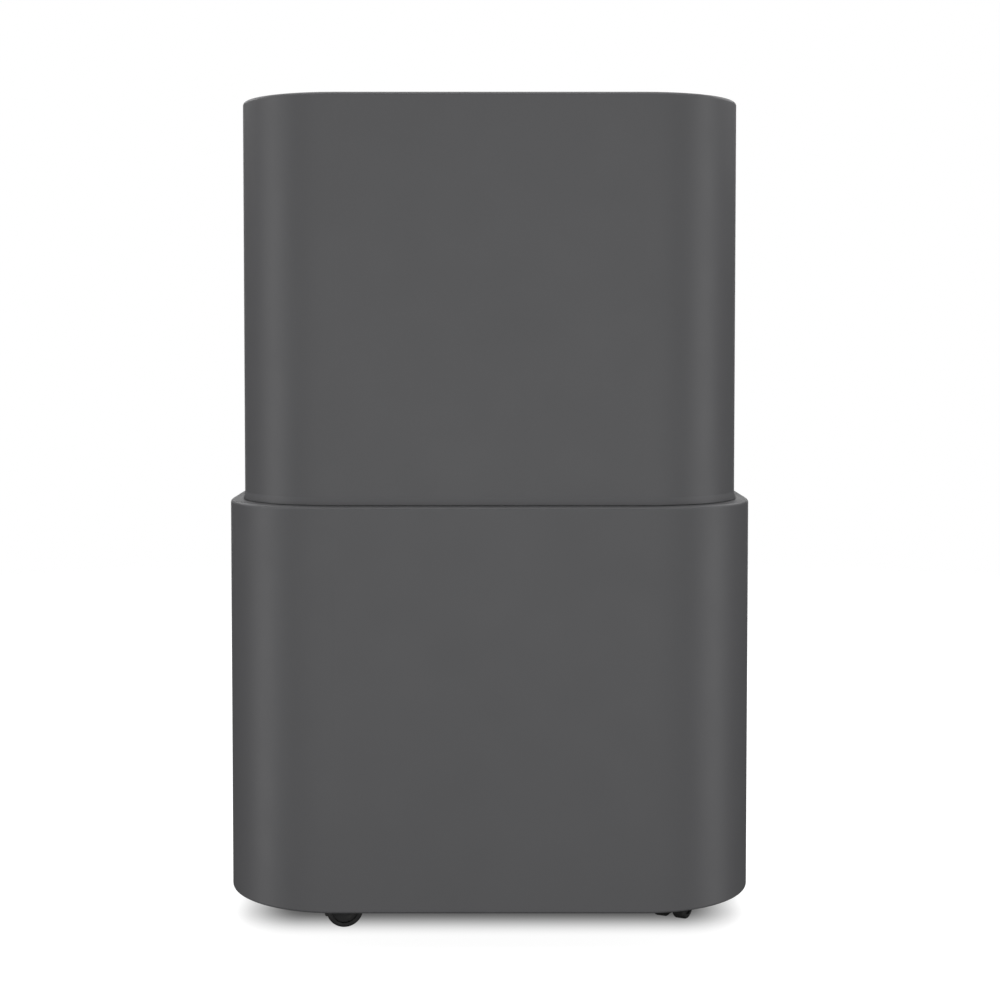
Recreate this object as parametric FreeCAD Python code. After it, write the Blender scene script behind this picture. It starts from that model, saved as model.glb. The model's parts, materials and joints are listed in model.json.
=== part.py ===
import FreeCAD, Part
import math
import os

# Compressor dehumidifier on four swivel casters, in millimetres.
# Origin: on the floor, under the middle of the plan outline. +X right, +Y to the rear, +Z up.
# The upper body stands in a wider lower body, whose front half is the face of a pull-out water tank.

V = FreeCAD.Vector
FAR = 800.0               # beyond every face of the object
X, Y, Z = V(1, 0, 0), V(0, 1, 0), V(0, 0, 1)

# ---------------------------------------------------------------- driving dimensions
WIDTH, DEPTH, HEIGHT = 350.0, 252.0, 554.0
SKIRT_Z = 26.0            # lower edge of the lower body above the floor
LEDGE_Z = 289.0           # top of the ledge between the two bodies
STEP = 9.5                # how far the lower body stands out past the upper one
WALL = 2.6
LOWER_CORNER = 76.0
UPPER_CORNER = LOWER_CORNER - STEP
GAP = 0.4                 # general gap between mouldings
RIM_ROUND, LEDGE_ROUND, SKIRT_ROUND = 2.2, 2.4, 1.4
SEAM_Y = -20.0            # where the tank's face meets the lower cabinet, on the sides
SHELL_SEAM_Y = 56.0       # where the upper front and rear shells meet

HALF_W, HALF_D = WIDTH / 2, DEPTH / 2
UPPER_W, UPPER_D = HALF_W - STEP, HALF_D - STEP
INNER_W, INNER_D = UPPER_W - WALL, UPPER_D - WALL
LOWER_IN_W, LOWER_IN_D = HALF_W - WALL, HALF_D - WALL
UPPER_FOOT_Z = LEDGE_Z - 13.0     # the upper shells reach down past the ledge
FLARE = 1.2               # the upper wall leans out by this much just above the ledge
FLARE_Z0, FLARE_Z1 = LEDGE_Z + 0.4, LEDGE_Z + 5.2

DECK_TOP_Z = HEIGHT - 3.0         # top deck, set a little below the rim
DECK_T = 3.0
BASE_TOP_Z = 47.0                 # floor of the base pan
BASE_T = 3.0
CHASSIS_Z0, CHASSIS_Z1 = 277.0, 281.0

# casters
CASTER_X, CASTER_Y = 118.0, 65.0
WHEEL_R, WHEEL_W, WHEEL_GAP = 12.5, 8.5, 5.5
AXLE_R = 2.0
TRAIL = 19.0              # from the swivel axis to the axle
STEM_R, STEM_TOP_Z, SOCKET_Z = 4.0, 45.0, 36.0
CASTER_SIGNS = {
    "front_left": (-1, -1),
    "front_right": (1, -1),
    "rear_left": (-1, 1),
    "rear_right": (1, 1),
}
CASTER_ANGLES = {         # resting direction of each trail, from +X
    "front_left": 10.0,
    "front_right": 65.0,
    "rear_left": 40.0,
    "rear_right": 100.0,
}

# air path, front to rear
FAN_Z = 401.0
FAN_Y0, FAN_Y1 = -42.0, 18.0      # inside of the fan housing
FAN_R, FAN_W = 74.0, 46.0
SHAFT_R = 4.0
COIL_X, COIL_Z0, COIL_Z1 = 115.0, 301.0, 511.0
COIL_PITCH, COIL_RUNS = 22.0, 10
CONDENSER_Y, EVAPORATOR_Y, COIL_HALF = 59.0, 91.0, 13.0
TUBE_R, TUBE_WALL = 3.5, 0.8
TUBE_REACH = COIL_X + 4.0         # where the straight runs end and the bends start
COIL_END_X = -TUBE_REACH - 8.1    # where the outer pipes meet the first and last runs
INTAKE_X, INTAKE_Z0, INTAKE_Z1 = 118.0, 312.0, 512.0

# outlet louvre and its well
WELL_X, WELL_Y0, WELL_Y1, WELL_Z0 = 110.8, -41.2, 17.4, 531.0
FLAP_AXIS_Y, FLAP_AXIS_Z, FLAP_EDGE_R, FLAP_T = 14.0, DECK_TOP_Z - 2.6, 2.6, 3.0
PIN_R, RUNNING = 2.0, 0.08        # small hinge pins and their running clearance

# control panel
PANEL_X, PANEL_Y0, PANEL_Y1, PANEL_CORNER = 96.0, -98.0, -58.0, 9.0
PANEL_MID_Y = (PANEL_Y0 + PANEL_Y1) / 2
PANEL_TOP_Z = DECK_TOP_Z + 0.4
BUTTON_R, BUTTON_TRAVEL = 6.2, 0.8
BUTTONS = {
    "power_button": -78.0,
    "mode_button": -58.0,
    "fan_speed_button": 42.0,
    "timer_button": 60.0,
    "humidity_button": 78.0,
}
LENS_X, LENS_Y = 28.0, 11.0

# water tank
TANK_X, TANK_Y0, TANK_Y1 = 140.0, -120.0, -8.0
TANK_Z0, TANK_Z1, TANK_WALL = 51.4, 214.0, 2.5
TANK_CORNER, TANK_REAR_CORNER = 40.0, 14.0
LID_Z0, LID_T = TANK_Z1 + 0.2, 3.0
BAIL_Y, BAIL_Z, BAIL_REACH = -64.0, 224.0, 42.0
BAIL_ROD_R, BAIL_GRIP_R, BAIL_HUB_R, BAIL_PIN_R = 2.7, 5.0, 5.4, 2.5
FLOAT_X, FLOAT_AXIS_Y, FLOAT_AXIS_Z = 108.0, -22.0, 196.0
MAGNET_R, MAGNET_DY = 3.0, -37.0

# compressor side
COMPRESSOR_X, COMPRESSOR_Y, COMPRESSOR_R = -66.0, 61.0, 44.0
COMPRESSOR_Z0, COMPRESSOR_Z1, FOOT_CIRCLE_R = 62.0, 220.0, 50.0
ACCUMULATOR_X, ACCUMULATOR_R = -140.0, 17.0
PIPE_X, PIPE_Y = -139.5, 33.0     # filter drier, beside the coils
RISER_X, SUCTION_X = -152.0, -137.1   # hot gas and suction pipes past the chassis deck
SUCTION_Z = 78.0
DRAIN_X, DRAIN_Z, DRAIN_R, DRAIN_BORE_R = 60.0, 252.0, 7.0, 5.0
DRAIN_CUP_R, GLAND_R = 16.0, 8.0
NIPPLE_Y, SPOUT_Y = 80.0, -24.0
CORD_X, CORD_Z, CORD_BORE_R = 60.0, 74.0, 3.8

# screws: across, height, then the face that the head lies on
SHELL_SCREWS = [(-84.0, 300.0), (84.0, 300.0), (-84.0, 530.0), (84.0, 530.0)]
CABINET_SCREWS = [(-90.0, 58.0), (90.0, 58.0), (-90.0, 268.0), (90.0, 268.0)]
SCREW_R, SCREW_HEAD_R, SCREW_HOLE_R = 1.9, 3.6, 2.0
SCREW_TAB_Y = 107.0

# electrics beside the compressor
BOX_X0, BOX_X1, BOX_Y0, BOX_Y1, BOX_Z0, BOX_Z1 = 16.0, 100.0, 16.0, 96.0, 48.0, 118.0
CAPACITOR_X, CAPACITOR_Y, CAPACITOR_R, CAPACITOR_H = 132.0, 52.0, 17.0, 62.0

# grips
GRIP_Y, GRIP_Z, GRIP_HALF_L, GRIP_HALF_H, GRIP_DEPTH = 0.0, 486.0, 41.0, 14.0, 24.0
PULL_Z0, PULL_Z1, PULL_Y1, PULL_DEPTH = 128.0, 206.0, 10.0, 12.0


# ---------------------------------------------------------------- helpers
def box(x0, x1, y0, y1, z0, z1):
    return Part.makeBox(x1 - x0, y1 - y0, z1 - z0, V(x0, y0, z0))


def cylinder(radius, start, length, axis=Z):
    return Part.makeCylinder(radius, length, V(*start), axis)


def tube_ring(outer, inner, start, length, axis=Z):
    return cylinder(outer, start, length, axis).cut(cylinder(inner, start, length, axis))


def rounded_wire(points, radii):
    """Closed wire through the points, with each corner rounded by a tangent arc."""
    count = len(points)
    ends = []
    for i, (corner, radius) in enumerate(zip(points, radii)):
        to_prev = (points[i - 1] - corner).normalize()
        to_next = (points[(i + 1) % count] - corner).normalize()
        if radius <= 0:
            ends.append((corner, None, corner))
            continue
        half = to_prev.getAngle(to_next) / 2
        reach = radius / math.tan(half)
        bisector = (to_prev + to_next).normalize()
        middle = corner + bisector * (radius / math.sin(half) - radius)
        ends.append((corner + to_prev * reach, middle, corner + to_next * reach))
    edges = []
    for i, (start, middle, end) in enumerate(ends):
        if middle is not None:
            edges.append(Part.Arc(start, middle, end).toShape())
        following = ends[(i + 1) % count][0]
        if end.distanceToPoint(following) > 1e-6:
            edges.append(Part.LineSegment(end, following).toShape())
    return Part.Wire(edges)


def prism(points, radii, direction):
    return Part.Face(rounded_wire(points, radii)).extrude(direction)


def plan_prism(x0, x1, y0, y1, z0, z1, front_r, rear_r=None):
    """Upright prism whose front and rear vertical edges are rounded."""
    rear_r = front_r if rear_r is None else rear_r
    points = [V(x0, y0, z0), V(x1, y0, z0), V(x1, y1, z0), V(x0, y1, z0)]
    return prism(points, [front_r, front_r, rear_r, rear_r], Z * (z1 - z0))


def centred_prism(half_x, half_y, z0, z1, corner):
    return plan_prism(-half_x, half_x, -half_y, half_y, z0, z1, corner)


def plan_outline(half_x, half_y, z, corner):
    """Level outline with rounded corners, as a closed wire."""
    points = [V(-half_x, -half_y, z), V(half_x, -half_y, z), V(half_x, half_y, z), V(-half_x, half_y, z)]
    return rounded_wire(points, [corner] * 4)


def wall_prism(y0, y1, x0, x1, z0, z1, corner):
    """Prism along Y whose outline in X and Z has rounded corners."""
    points = [V(x0, y0, z0), V(x1, y0, z0), V(x1, y0, z1), V(x0, y0, z1)]
    return prism(points, [corner] * 4, Y * (y1 - y0))


def side_prism(x0, x1, y0, y1, z0, z1, corner):
    """Prism along X whose outline in Y and Z has rounded corners."""
    points = [V(x0, y0, z0), V(x0, y1, z0), V(x0, y1, z1), V(x0, y0, z1)]
    return prism(points, [corner] * 4, X * (x1 - x0))


def fuse(shapes):
    return shapes[0].multiFuse(shapes[1:]).removeSplitter()


def round_edges(shape, radius, test):
    """Fillets each edge whose bounding box passes the test."""
    return shape.makeFillet(radius, [edge for edge in shape.Edges if test(edge.BoundBox)])


def level(z):
    """Test for edges lying flat at height z."""
    return lambda b: abs(b.ZMin - z) < 1e-4 and abs(b.ZMax - z) < 1e-4


def pipe(points, radius, bend):
    """Round rod along straight runs joined by tangent arcs."""
    points = [V(*p) for p in points]
    edges = []
    at = points[0]
    for i in range(1, len(points) - 1):
        corner = points[i]
        to_prev = (points[i - 1] - corner).normalize()
        to_next = (points[i + 1] - corner).normalize()
        half = to_prev.getAngle(to_next) / 2
        shorter = min((points[i - 1] - corner).Length, (points[i + 1] - corner).Length)
        reach = min(bend / math.tan(half), 0.45 * shorter)
        arc_r = reach * math.tan(half)
        middle = corner + (to_prev + to_next).normalize() * (arc_r / math.sin(half) - arc_r)
        start, end = corner + to_prev * reach, corner + to_next * reach
        edges.append(Part.LineSegment(at, start).toShape())
        edges.append(Part.Arc(start, middle, end).toShape())
        at = end
    edges.append(Part.LineSegment(at, points[-1]).toShape())
    ring = Part.Wire(Part.makeCircle(radius, points[0], points[1] - points[0]))
    return Part.Wire(edges).makePipeShell([ring], True, True)


def mirrored(shape):
    return shape.mirror(V(0, 0, 0), X)


def group(shapes):
    """Several separate solids in one node."""
    return Part.makeCompound(shapes)


# ---------------------------------------------------------------- lower body
def lower_ring():
    """Whole skirt of the lower body with its ledge, before it is split at the seam."""
    outer = centred_prism(HALF_W, HALF_D, SKIRT_Z, LEDGE_Z, LOWER_CORNER)
    outer = round_edges(outer, LEDGE_ROUND, level(LEDGE_Z))
    outer = round_edges(outer, SKIRT_ROUND, level(SKIRT_Z))
    hollow = centred_prism(LOWER_IN_W, LOWER_IN_D, SKIRT_Z - 1, LEDGE_Z - WALL, LOWER_CORNER - WALL)
    mouth = centred_prism(UPPER_W + 0.5, UPPER_D + 0.5, SKIRT_Z, LEDGE_Z + 1, UPPER_CORNER + 0.5)
    return outer.cut(hollow).cut(mouth)


def pull_window():
    """Opening in the cabinet's right wall, behind the seam, where fingers reach the tank's edge."""
    return side_prism(HALF_W - 8, HALF_W + 2, SEAM_Y - 20, PULL_Y1, PULL_Z0, PULL_Z1, 9.0)


def lower_cabinet():
    """Rear half of the lower body, with the compressor's air slots and sunk bosses for its screws."""
    shape = lower_ring().common(box(-FAR, FAR, SEAM_Y + GAP, FAR, 0, FAR))
    boss_y = INNER_D
    bosses = [cylinder(6.5, (x, boss_y, z), HALF_D - WALL - boss_y + 0.6, Y) for x, z in CABINET_SCREWS]
    shape = fuse([shape] + bosses)
    cuts = [pull_window(), mirrored(pull_window())]
    cuts.append(cylinder(DRAIN_CUP_R + 0.2, (DRAIN_X, HALF_D - 20, DRAIN_Z), 30, Y))
    cuts.append(cylinder(GLAND_R + 0.1, (CORD_X, HALF_D - 20, CORD_Z), 30, Y))
    slot_z0, slot_pitch, slot_h = 92.0, 10.0, 4.0
    for row in range(9):
        z = slot_z0 + slot_pitch * row
        for x in (-82.0, -44.0):
            cuts.append(wall_prism(HALF_D - 10, HALF_D + 2, x, x + 32, z, z + slot_h, slot_h * 0.48))
    for x, z in CABINET_SCREWS:
        cuts.append(cylinder(SCREW_HOLE_R, (x, HALF_D - 20, z), 30, Y))
        cuts.append(cylinder(SCREW_HEAD_R + 0.4, (x, HALF_D - 2.6, z), 10, Y))
    return shape.cut(Part.makeCompound(cuts))


def pull_cup():
    """Finger cup behind the seam on the right side, open outwards and towards the tank's edge."""
    x0, x1 = HALF_W - WALL - PULL_DEPTH, HALF_W - WALL - 0.3
    y0, z0, z1 = SEAM_Y - 16, PULL_Z0 - 2, PULL_Z1 + 2
    outer = side_prism(x0, x1, y0, PULL_Y1 + 2, z0, z1, 9.0)
    hollow = side_prism(x0 + 2, x1 + 2, y0 + 2, PULL_Y1, PULL_Z0, PULL_Z1, 7.5)
    return outer.cut(hollow)


def base_pan():
    """Inverted tray: it carries the tank rails and the compressor, with a socket for each caster."""
    out_x, out_y, corner = LOWER_IN_W - GAP, LOWER_IN_D - GAP, LOWER_CORNER - WALL - GAP
    shape = centred_prism(out_x, out_y, SKIRT_Z + 3, BASE_TOP_Z, corner)
    shape = shape.cut(centred_prism(out_x - 2.5, out_y - 2.5, SKIRT_Z + 2, BASE_TOP_Z - BASE_T, corner - 2.5))
    rail_x, rib_half, rib_z = 104.0, 1.2, 36.0
    ceiling_z = BASE_TOP_Z - BASE_T
    adds = [box(s * rail_x - 3, s * rail_x + 3, -112, -12, BASE_TOP_Z, BASE_TOP_Z + 4.2) for s in (-1, 1)]
    adds += [box(-148, 148, y - rib_half, y + rib_half, rib_z, ceiling_z) for y in (-24.0, 24.0)]
    adds += [box(x - rib_half, x + rib_half, -110, 110, rib_z, ceiling_z) for x in (-58.0, 0.0, 58.0)]
    adds += [screw_tab(x, BASE_TOP_Z - 1, BASE_TOP_Z + 20) for x, _ in CABINET_SCREWS[:2]]
    cuts = []
    for sx, sy in CASTER_SIGNS.values():
        x, y = sx * CASTER_X, sy * CASTER_Y
        adds.append(cylinder(9.0, (x, y, SOCKET_Z), BASE_TOP_Z - SOCKET_Z - 1))
        cuts.append(cylinder(STEM_R + RUNNING, (x, y, SOCKET_Z - 1), STEM_TOP_Z + 1.4 - SOCKET_Z))
    for x, y in compressor_feet():
        adds.append(cylinder(7.0, (x, y, BASE_TOP_Z), 3))
        cuts.append(cylinder(2.6, (x, y, BASE_TOP_Z - 8), 20))
    cuts += [cylinder(SCREW_HOLE_R, (x, SCREW_TAB_Y - 5, z), 20, Y) for x, z in CABINET_SCREWS[:2]]
    return fuse([shape] + adds).cut(Part.makeCompound(cuts))


def screw_tab(x, z0, z1):
    """Upright lug that takes one of the cabinet's rear screws."""
    return box(x - 7, x + 7, SCREW_TAB_Y, INNER_D - 0.3, z0, z1)


# ---------------------------------------------------------------- casters
def caster_frame(shape, corner):
    """Moves a caster built about the origin, trailing towards +X, to its corner at its resting angle."""
    sx, sy = CASTER_SIGNS[corner]
    shape.rotate(V(0, 0, 0), Z, CASTER_ANGLES[corner])
    shape.translate(V(sx * CASTER_X, sy * CASTER_Y, 0))
    return shape


def caster_hood(corner):
    """Web between the two wheels, hood over them and the stem, in one moulding."""
    web_half = WHEEL_GAP / 2 - 0.4
    clear_r, far = WHEEL_R + 1.0, 60.0
    hood_bottom = WHEEL_R + 2.5
    web = cylinder(WHEEL_R + 1.5, (TRAIL, -web_half, WHEEL_R), 2 * web_half, Y)
    web = web.cut(box(-far, far, -far, far, -far, WHEEL_R * 0.45))
    half = WHEEL_GAP / 2 + WHEEL_W
    hood = tube_ring(WHEEL_R + 2.8, clear_r, (TRAIL, -half, WHEEL_R), 2 * half, Y)
    hood = hood.cut(box(-far, far, -far, far, -far, hood_bottom))
    hood = hood.cut(box(TRAIL + 8, far, -far, far, -far, far))
    neck = cylinder(7.5, (0, 0, hood_bottom), SOCKET_Z - 0.3 - hood_bottom)
    neck = neck.cut(cylinder(clear_r, (TRAIL, web_half, WHEEL_R), far, Y))
    neck = neck.cut(cylinder(clear_r, (TRAIL, -web_half - far, WHEEL_R), far, Y))
    stem = cylinder(STEM_R, (0, 0, SOCKET_Z - 4), STEM_TOP_Z - SOCKET_Z + 4)
    shape = fuse([web, hood, neck, stem])
    return caster_frame(shape.cut(cylinder(AXLE_R + RUNNING, (TRAIL, -far, WHEEL_R), 2 * far, Y)), corner)


def wheel_profile(y_in, y_out):
    """Half section of one wheel: crowned tread, dished outer face and a hub on the axle."""
    toward = 1 if y_out > y_in else -1
    rim, dish, hub, edge = WHEEL_R - 3.2, 1.6, 4.6, 1.6
    y_dish = y_out - toward * dish
    outline = [(AXLE_R, y_in), (WHEEL_R, y_in), (WHEEL_R, y_out), (rim, y_out),
               (rim, y_dish), (hub, y_dish), (hub, y_out), (AXLE_R, y_out)]
    points = [V(TRAIL, y, WHEEL_R + r) for r, y in outline]
    return Part.Face(rounded_wire(points, [0, edge, edge, 0, 0, 0, 0, 0]))


def caster_wheels(corner):
    """Two wheels and the axle that they are pressed on."""
    inner, outer = WHEEL_GAP / 2, WHEEL_GAP / 2 + WHEEL_W
    centre = V(TRAIL, 0, WHEEL_R)
    solids = [cylinder(AXLE_R, (TRAIL, -outer, WHEEL_R), 2 * outer, Y)]
    solids += [wheel_profile(s * inner, s * outer).revolve(centre, Y, 360) for s in (-1, 1)]
    return caster_frame(group(solids), corner)


# ---------------------------------------------------------------- water tank
def tank_face():
    """Front half of the lower body: the tank's outer face with its share of the ledge."""
    shape = lower_ring().common(box(-FAR, FAR, -FAR, SEAM_Y - GAP, 0, FAR))
    pads = [box(x - 8, x + 8, -LOWER_IN_D - 0.5, TANK_Y0 - 0.1, 80, 190) for x in (-70.0, 70.0)]
    return fuse([shape] + pads)


def water_tank():
    """Open tank with the handle's two ears and the lugs for the float's pin."""
    outer = round_edges(tank_outline(0, TANK_Z0, TANK_Z1), 7.0, level(TANK_Z0))
    hollow = tank_outline(TANK_WALL, TANK_Z0 + TANK_WALL, TANK_Z1 + 5)
    hollow = round_edges(hollow, 5.0, level(TANK_Z0 + TANK_WALL))
    shape = outer.cut(hollow)
    ear = side_prism(TANK_X, TANK_X + 3.0, BAIL_Y - 9, BAIL_Y + 9, TANK_Z1 - 18, BAIL_Z + 6.5, 6.0)
    pin = cylinder(BAIL_PIN_R, (TANK_X + 2.0, BAIL_Y, BAIL_Z), 6.0, X)
    bosses = [ear, pin, mirrored(ear), mirrored(pin)]
    lug_y0, lug_y1 = FLOAT_AXIS_Y - 5, TANK_Y1 - 1
    for x in (FLOAT_X - 17.0, FLOAT_X + 14.0):
        bosses.append(side_prism(x, x + 3, lug_y0, lug_y1, FLOAT_AXIS_Z - 6, FLOAT_AXIS_Z + 6, 1.2))
    shape = fuse([shape] + bosses)
    pin_hole = cylinder(PIN_R + RUNNING, (FLOAT_X - 15.5, FLOAT_AXIS_Y, FLOAT_AXIS_Z), 31, X)
    return shape.cut(pin_hole)


def tank_cover():
    """Snap-on lid with a drip inlet over its middle and a pouring lip at one front corner."""
    z0, z1 = LID_Z0, LID_Z0 + LID_T
    shape = tank_outline(0.4, z0, z1)
    shape = round_edges(shape, 1.2, level(z1))
    lip, skirt, skirt_h = TANK_WALL + 0.3, 2.0, 6.0
    plug = tank_outline(lip, z0 - skirt_h, z0).cut(tank_outline(lip + skirt, z0 - skirt_h - 1, z0 + 1))
    rim = plan_prism(-46, 46, -58, -14, z1 - 1, z1 + 1.2, 10.0)
    mouth = plan_prism(-44, 44, -56, -16, z0 - 8, z1 + 8, 8.0)
    pour = plan_prism(-112, -66, -104, -82, z0 - 1, z1 + 1, 6.0)
    return fuse([shape, plug, rim]).cut(Part.makeCompound([mouth, pour]))


def tank_outline(inset, z0, z1):
    """Prism of the tank's plan outline, moved in by the inset."""
    return plan_prism(-TANK_X + inset, TANK_X - inset, TANK_Y0 + inset, TANK_Y1 - inset, z0, z1,
                      TANK_CORNER - inset, TANK_REAR_CORNER - inset)


def tank_bail():
    """Carrying handle folded flat towards the rear."""
    x, grip_y, grip_half = TANK_X + 6.2, BAIL_Y + BAIL_REACH, 42.0
    corners = [(-x, BAIL_Y, BAIL_Z), (-x, grip_y, BAIL_Z), (x, grip_y, BAIL_Z), (x, BAIL_Y, BAIL_Z)]
    parts = [pipe(corners, BAIL_ROD_R, 14.0)]
    grip = cylinder(BAIL_GRIP_R, (-grip_half, grip_y, BAIL_Z), 2 * grip_half, X)
    parts.append(grip.makeFillet(1.8, [e for e in grip.Edges if e.BoundBox.XLength < 0.1]))
    parts += [cylinder(BAIL_HUB_R, (s * x - 2.6, BAIL_Y, BAIL_Z), 5.2, X) for s in (-1, 1)]
    return fuse(parts).cut(cylinder(BAIL_PIN_R + RUNNING, (-FAR, BAIL_Y, BAIL_Z), 2 * FAR, X))


def float_arm():
    """Foam float hanging from its pivot on the tank's rear wall, with a pocket for the magnet."""
    y, z = FLOAT_AXIS_Y, FLOAT_AXIS_Z
    hub = cylinder(4.0, (FLOAT_X - 12, y, z), 24, X)
    pin = cylinder(PIN_R, (FLOAT_X - 15, y, z), 30, X)
    arm = box(FLOAT_X - 4, FLOAT_X + 4, y - 26, y, z - 12, z - 1)
    bob = plan_prism(FLOAT_X - 17, FLOAT_X + 17, y - 52, y - 22, z - 34, z - 8, 6.0)
    bob = round_edges(bob, 2.5, lambda b: b.ZLength < 0.1)
    pocket = cylinder(MAGNET_R + 0.1, (FLOAT_X, y + MAGNET_DY, z - 14), 10)
    return fuse([hub, pin, arm, bob]).cut(pocket)


def float_magnet():
    return cylinder(MAGNET_R, (FLOAT_X, FLOAT_AXIS_Y + MAGNET_DY, FLOAT_AXIS_Z - 13.9), 5.5)


# ---------------------------------------------------------------- upper body
def upper_ring():
    """Whole wall of the upper body before it is split, leaning out a little where it meets the ledge."""
    outer = centred_prism(UPPER_W, UPPER_D, UPPER_FOOT_Z, HEIGHT, UPPER_CORNER)
    outer = round_edges(outer, RIM_ROUND, level(HEIGHT))
    foot = plan_outline(UPPER_W + FLARE, UPPER_D + FLARE, FLARE_Z0, UPPER_CORNER + FLARE)
    flare = Part.makeLoft([foot, plan_outline(UPPER_W, UPPER_D, FLARE_Z1, UPPER_CORNER)], True, True)
    inside = centred_prism(INNER_W, INNER_D, UPPER_FOOT_Z - 1, HEIGHT + 1, UPPER_CORNER - WALL)
    return fuse([outer, flare]).cut(inside)


def grip_window():
    return side_prism(UPPER_W - 8, UPPER_W + 2, GRIP_Y - GRIP_HALF_L, GRIP_Y + GRIP_HALF_L,
                      GRIP_Z - GRIP_HALF_H, GRIP_Z + GRIP_HALF_H, 10.0)


def deck_rest(x0, x1, y0, y1):
    """Small shelf inside a shell, under the lip of the top deck."""
    return box(x0, x1, y0, y1, DECK_TOP_Z - 17.0, DECK_TOP_Z - 12.3)


def front_shell():
    """Front and sides of the upper body in one moulding, with a grip window in each side."""
    shape = upper_ring().common(box(-FAR, FAR, -FAR, SHELL_SEAM_Y - 0.25, 0, FAR))
    bite, reach = 0.5, 4.0
    side_rest = deck_rest(INNER_W - reach, INNER_W + bite, -30, -18)
    rests = [deck_rest(x - 6, x + 6, -INNER_D - bite, -INNER_D + reach) for x in (-88.0, 88.0)]
    shape = fuse([shape, side_rest, mirrored(side_rest)] + rests)
    return shape.cut(Part.makeCompound([grip_window(), mirrored(grip_window())]))


def rear_shell():
    """Back of the upper body, with the opening for the filter cassette."""
    shape = upper_ring().common(box(-FAR, FAR, SHELL_SEAM_Y + 0.25, FAR, 0, FAR))
    rests = [deck_rest(x - 6, x + 6, INNER_D - 4.0, INNER_D + 0.5) for x in (-88.0, 88.0)]
    window = wall_prism(UPPER_D - 6, UPPER_D + 2, -INTAKE_X, INTAKE_X, INTAKE_Z0, INTAKE_Z1, 8.0)
    holes = [cylinder(SCREW_HOLE_R, (x, UPPER_D - 10, z), 20, Y) for x, z in SHELL_SCREWS]
    return fuse([shape] + rests).cut(Part.makeCompound([window] + holes))


def screws():
    """Rear screws of the upper shell and the cabinet, and the compressor's three bolts."""
    parts = [screw(x, z, UPPER_D + 0.05, 8.0) for x, z in SHELL_SCREWS]
    parts += [screw(x, z, HALF_D - 2.5, 14.0) for x, z in CABINET_SCREWS]
    for x, y in compressor_feet():
        shank = cylinder(2.5, (x, y, BASE_TOP_Z - 7), COMPRESSOR_Z0 + 1.2 - BASE_TOP_Z + 7)
        parts.append(fuse([shank, cylinder(5.5, (x, y, COMPRESSOR_Z0 + 1.1), 4)]))
    return group(parts)


def screw(x, z, head_y, length):
    """Pan-head cross-slot screw along Y."""
    head_h, slot = 2.0, 0.4
    head = cylinder(SCREW_HEAD_R, (x, head_y, z), head_h, Y)
    head = head.makeFillet(1.0, [e for e in head.Edges if e.BoundBox.YMin > head_y + head_h / 2])
    shank = cylinder(SCREW_R, (x, head_y - length, z), length + 0.2, Y)
    cross = [box(x - 2, x + 2, head_y + 0.8, head_y + 3, z - slot, z + slot),
             box(x - slot, x + slot, head_y + 0.8, head_y + 3, z - 2, z + 2)]
    return fuse([head, shank]).cut(Part.makeCompound(cross))


def side_pair(shape):
    """Right-hand moulding and its mirror image on the left."""
    return group([shape, mirrored(shape)])


def grip_cup():
    """Recessed side grip on the right, with an undercut lip for the fingers."""
    x1 = UPPER_W - WALL - 0.2
    x0 = x1 - GRIP_DEPTH
    y0, y1 = GRIP_Y - GRIP_HALF_L - 2, GRIP_Y + GRIP_HALF_L + 2
    z0, z1 = GRIP_Z - GRIP_HALF_H - 2, GRIP_Z + GRIP_HALF_H + 9
    outer = side_prism(x0, x1, y0, y1, z0, z1, 11.0)
    hollow = side_prism(x0 + 2, x1 + 1, y0 + 2, y1 - 2, z0 + 2, z1 - 2, 9.5)
    return outer.cut(hollow)


def top_cover():
    """Top deck inside the rim, with the outlet well and the control panel's cut-out."""
    x, y, corner = INNER_W - GAP, INNER_D - GAP, UPPER_CORNER - WALL - GAP
    deck = centred_prism(x, y, DECK_TOP_Z - DECK_T, DECK_TOP_Z, corner)
    deck = round_edges(deck, 0.8, level(DECK_TOP_Z))
    lip = centred_prism(x, y, DECK_TOP_Z - 12, DECK_TOP_Z - DECK_T, corner)
    lip = lip.cut(centred_prism(x - 2.2, y - 2.2, DECK_TOP_Z - 13, DECK_TOP_Z - DECK_T, corner - 2.2))
    well = box(-WELL_X - 2, WELL_X + 2, WELL_Y0 - 2, WELL_Y1 + 2, WELL_Z0, DECK_TOP_Z - DECK_T)
    shape = fuse([deck, lip, well])
    mouth = box(-WELL_X, WELL_X, WELL_Y0, WELL_Y1, WELL_Z0 - 1, DECK_TOP_Z + 1)
    panel = plan_prism(-PANEL_X - 0.3, PANEL_X + 0.3, PANEL_Y0 - 0.3, PANEL_Y1 + 0.3,
                       DECK_TOP_Z - 6, DECK_TOP_Z + 1, PANEL_CORNER + 0.3)
    pins = cylinder(PIN_R + RUNNING, (-WELL_X - 5, FLAP_AXIS_Y, FLAP_AXIS_Z), 2 * WELL_X + 10, X)
    return shape.cut(Part.makeCompound([mouth, panel, pins]))


def outlet_grille():
    """Fixed finger guard across the bottom of the well."""
    x, y0, y1 = WELL_X - 0.4, WELL_Y0 + 0.4, WELL_Y1 - 0.4
    plate = box(-x, x, y0, y1, WELL_Z0 + 1, WELL_Z0 + 5)
    slots = []
    columns, rows = 19, 3
    pitch_x = (2 * x - 4) / columns
    pitch_y = (y1 - y0 - 3) / rows
    bar = 0.8
    for i in range(columns):
        for j in range(rows):
            sx, sy = -x + 2 + i * pitch_x, y0 + 1.5 + j * pitch_y
            ex, ey = sx + pitch_x - bar, sy + pitch_y - bar
            slots.append(box(sx + bar, ex, sy + bar, ey, WELL_Z0, WELL_Z0 + 6))
    return plate.cut(Part.makeCompound(slots))


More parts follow.
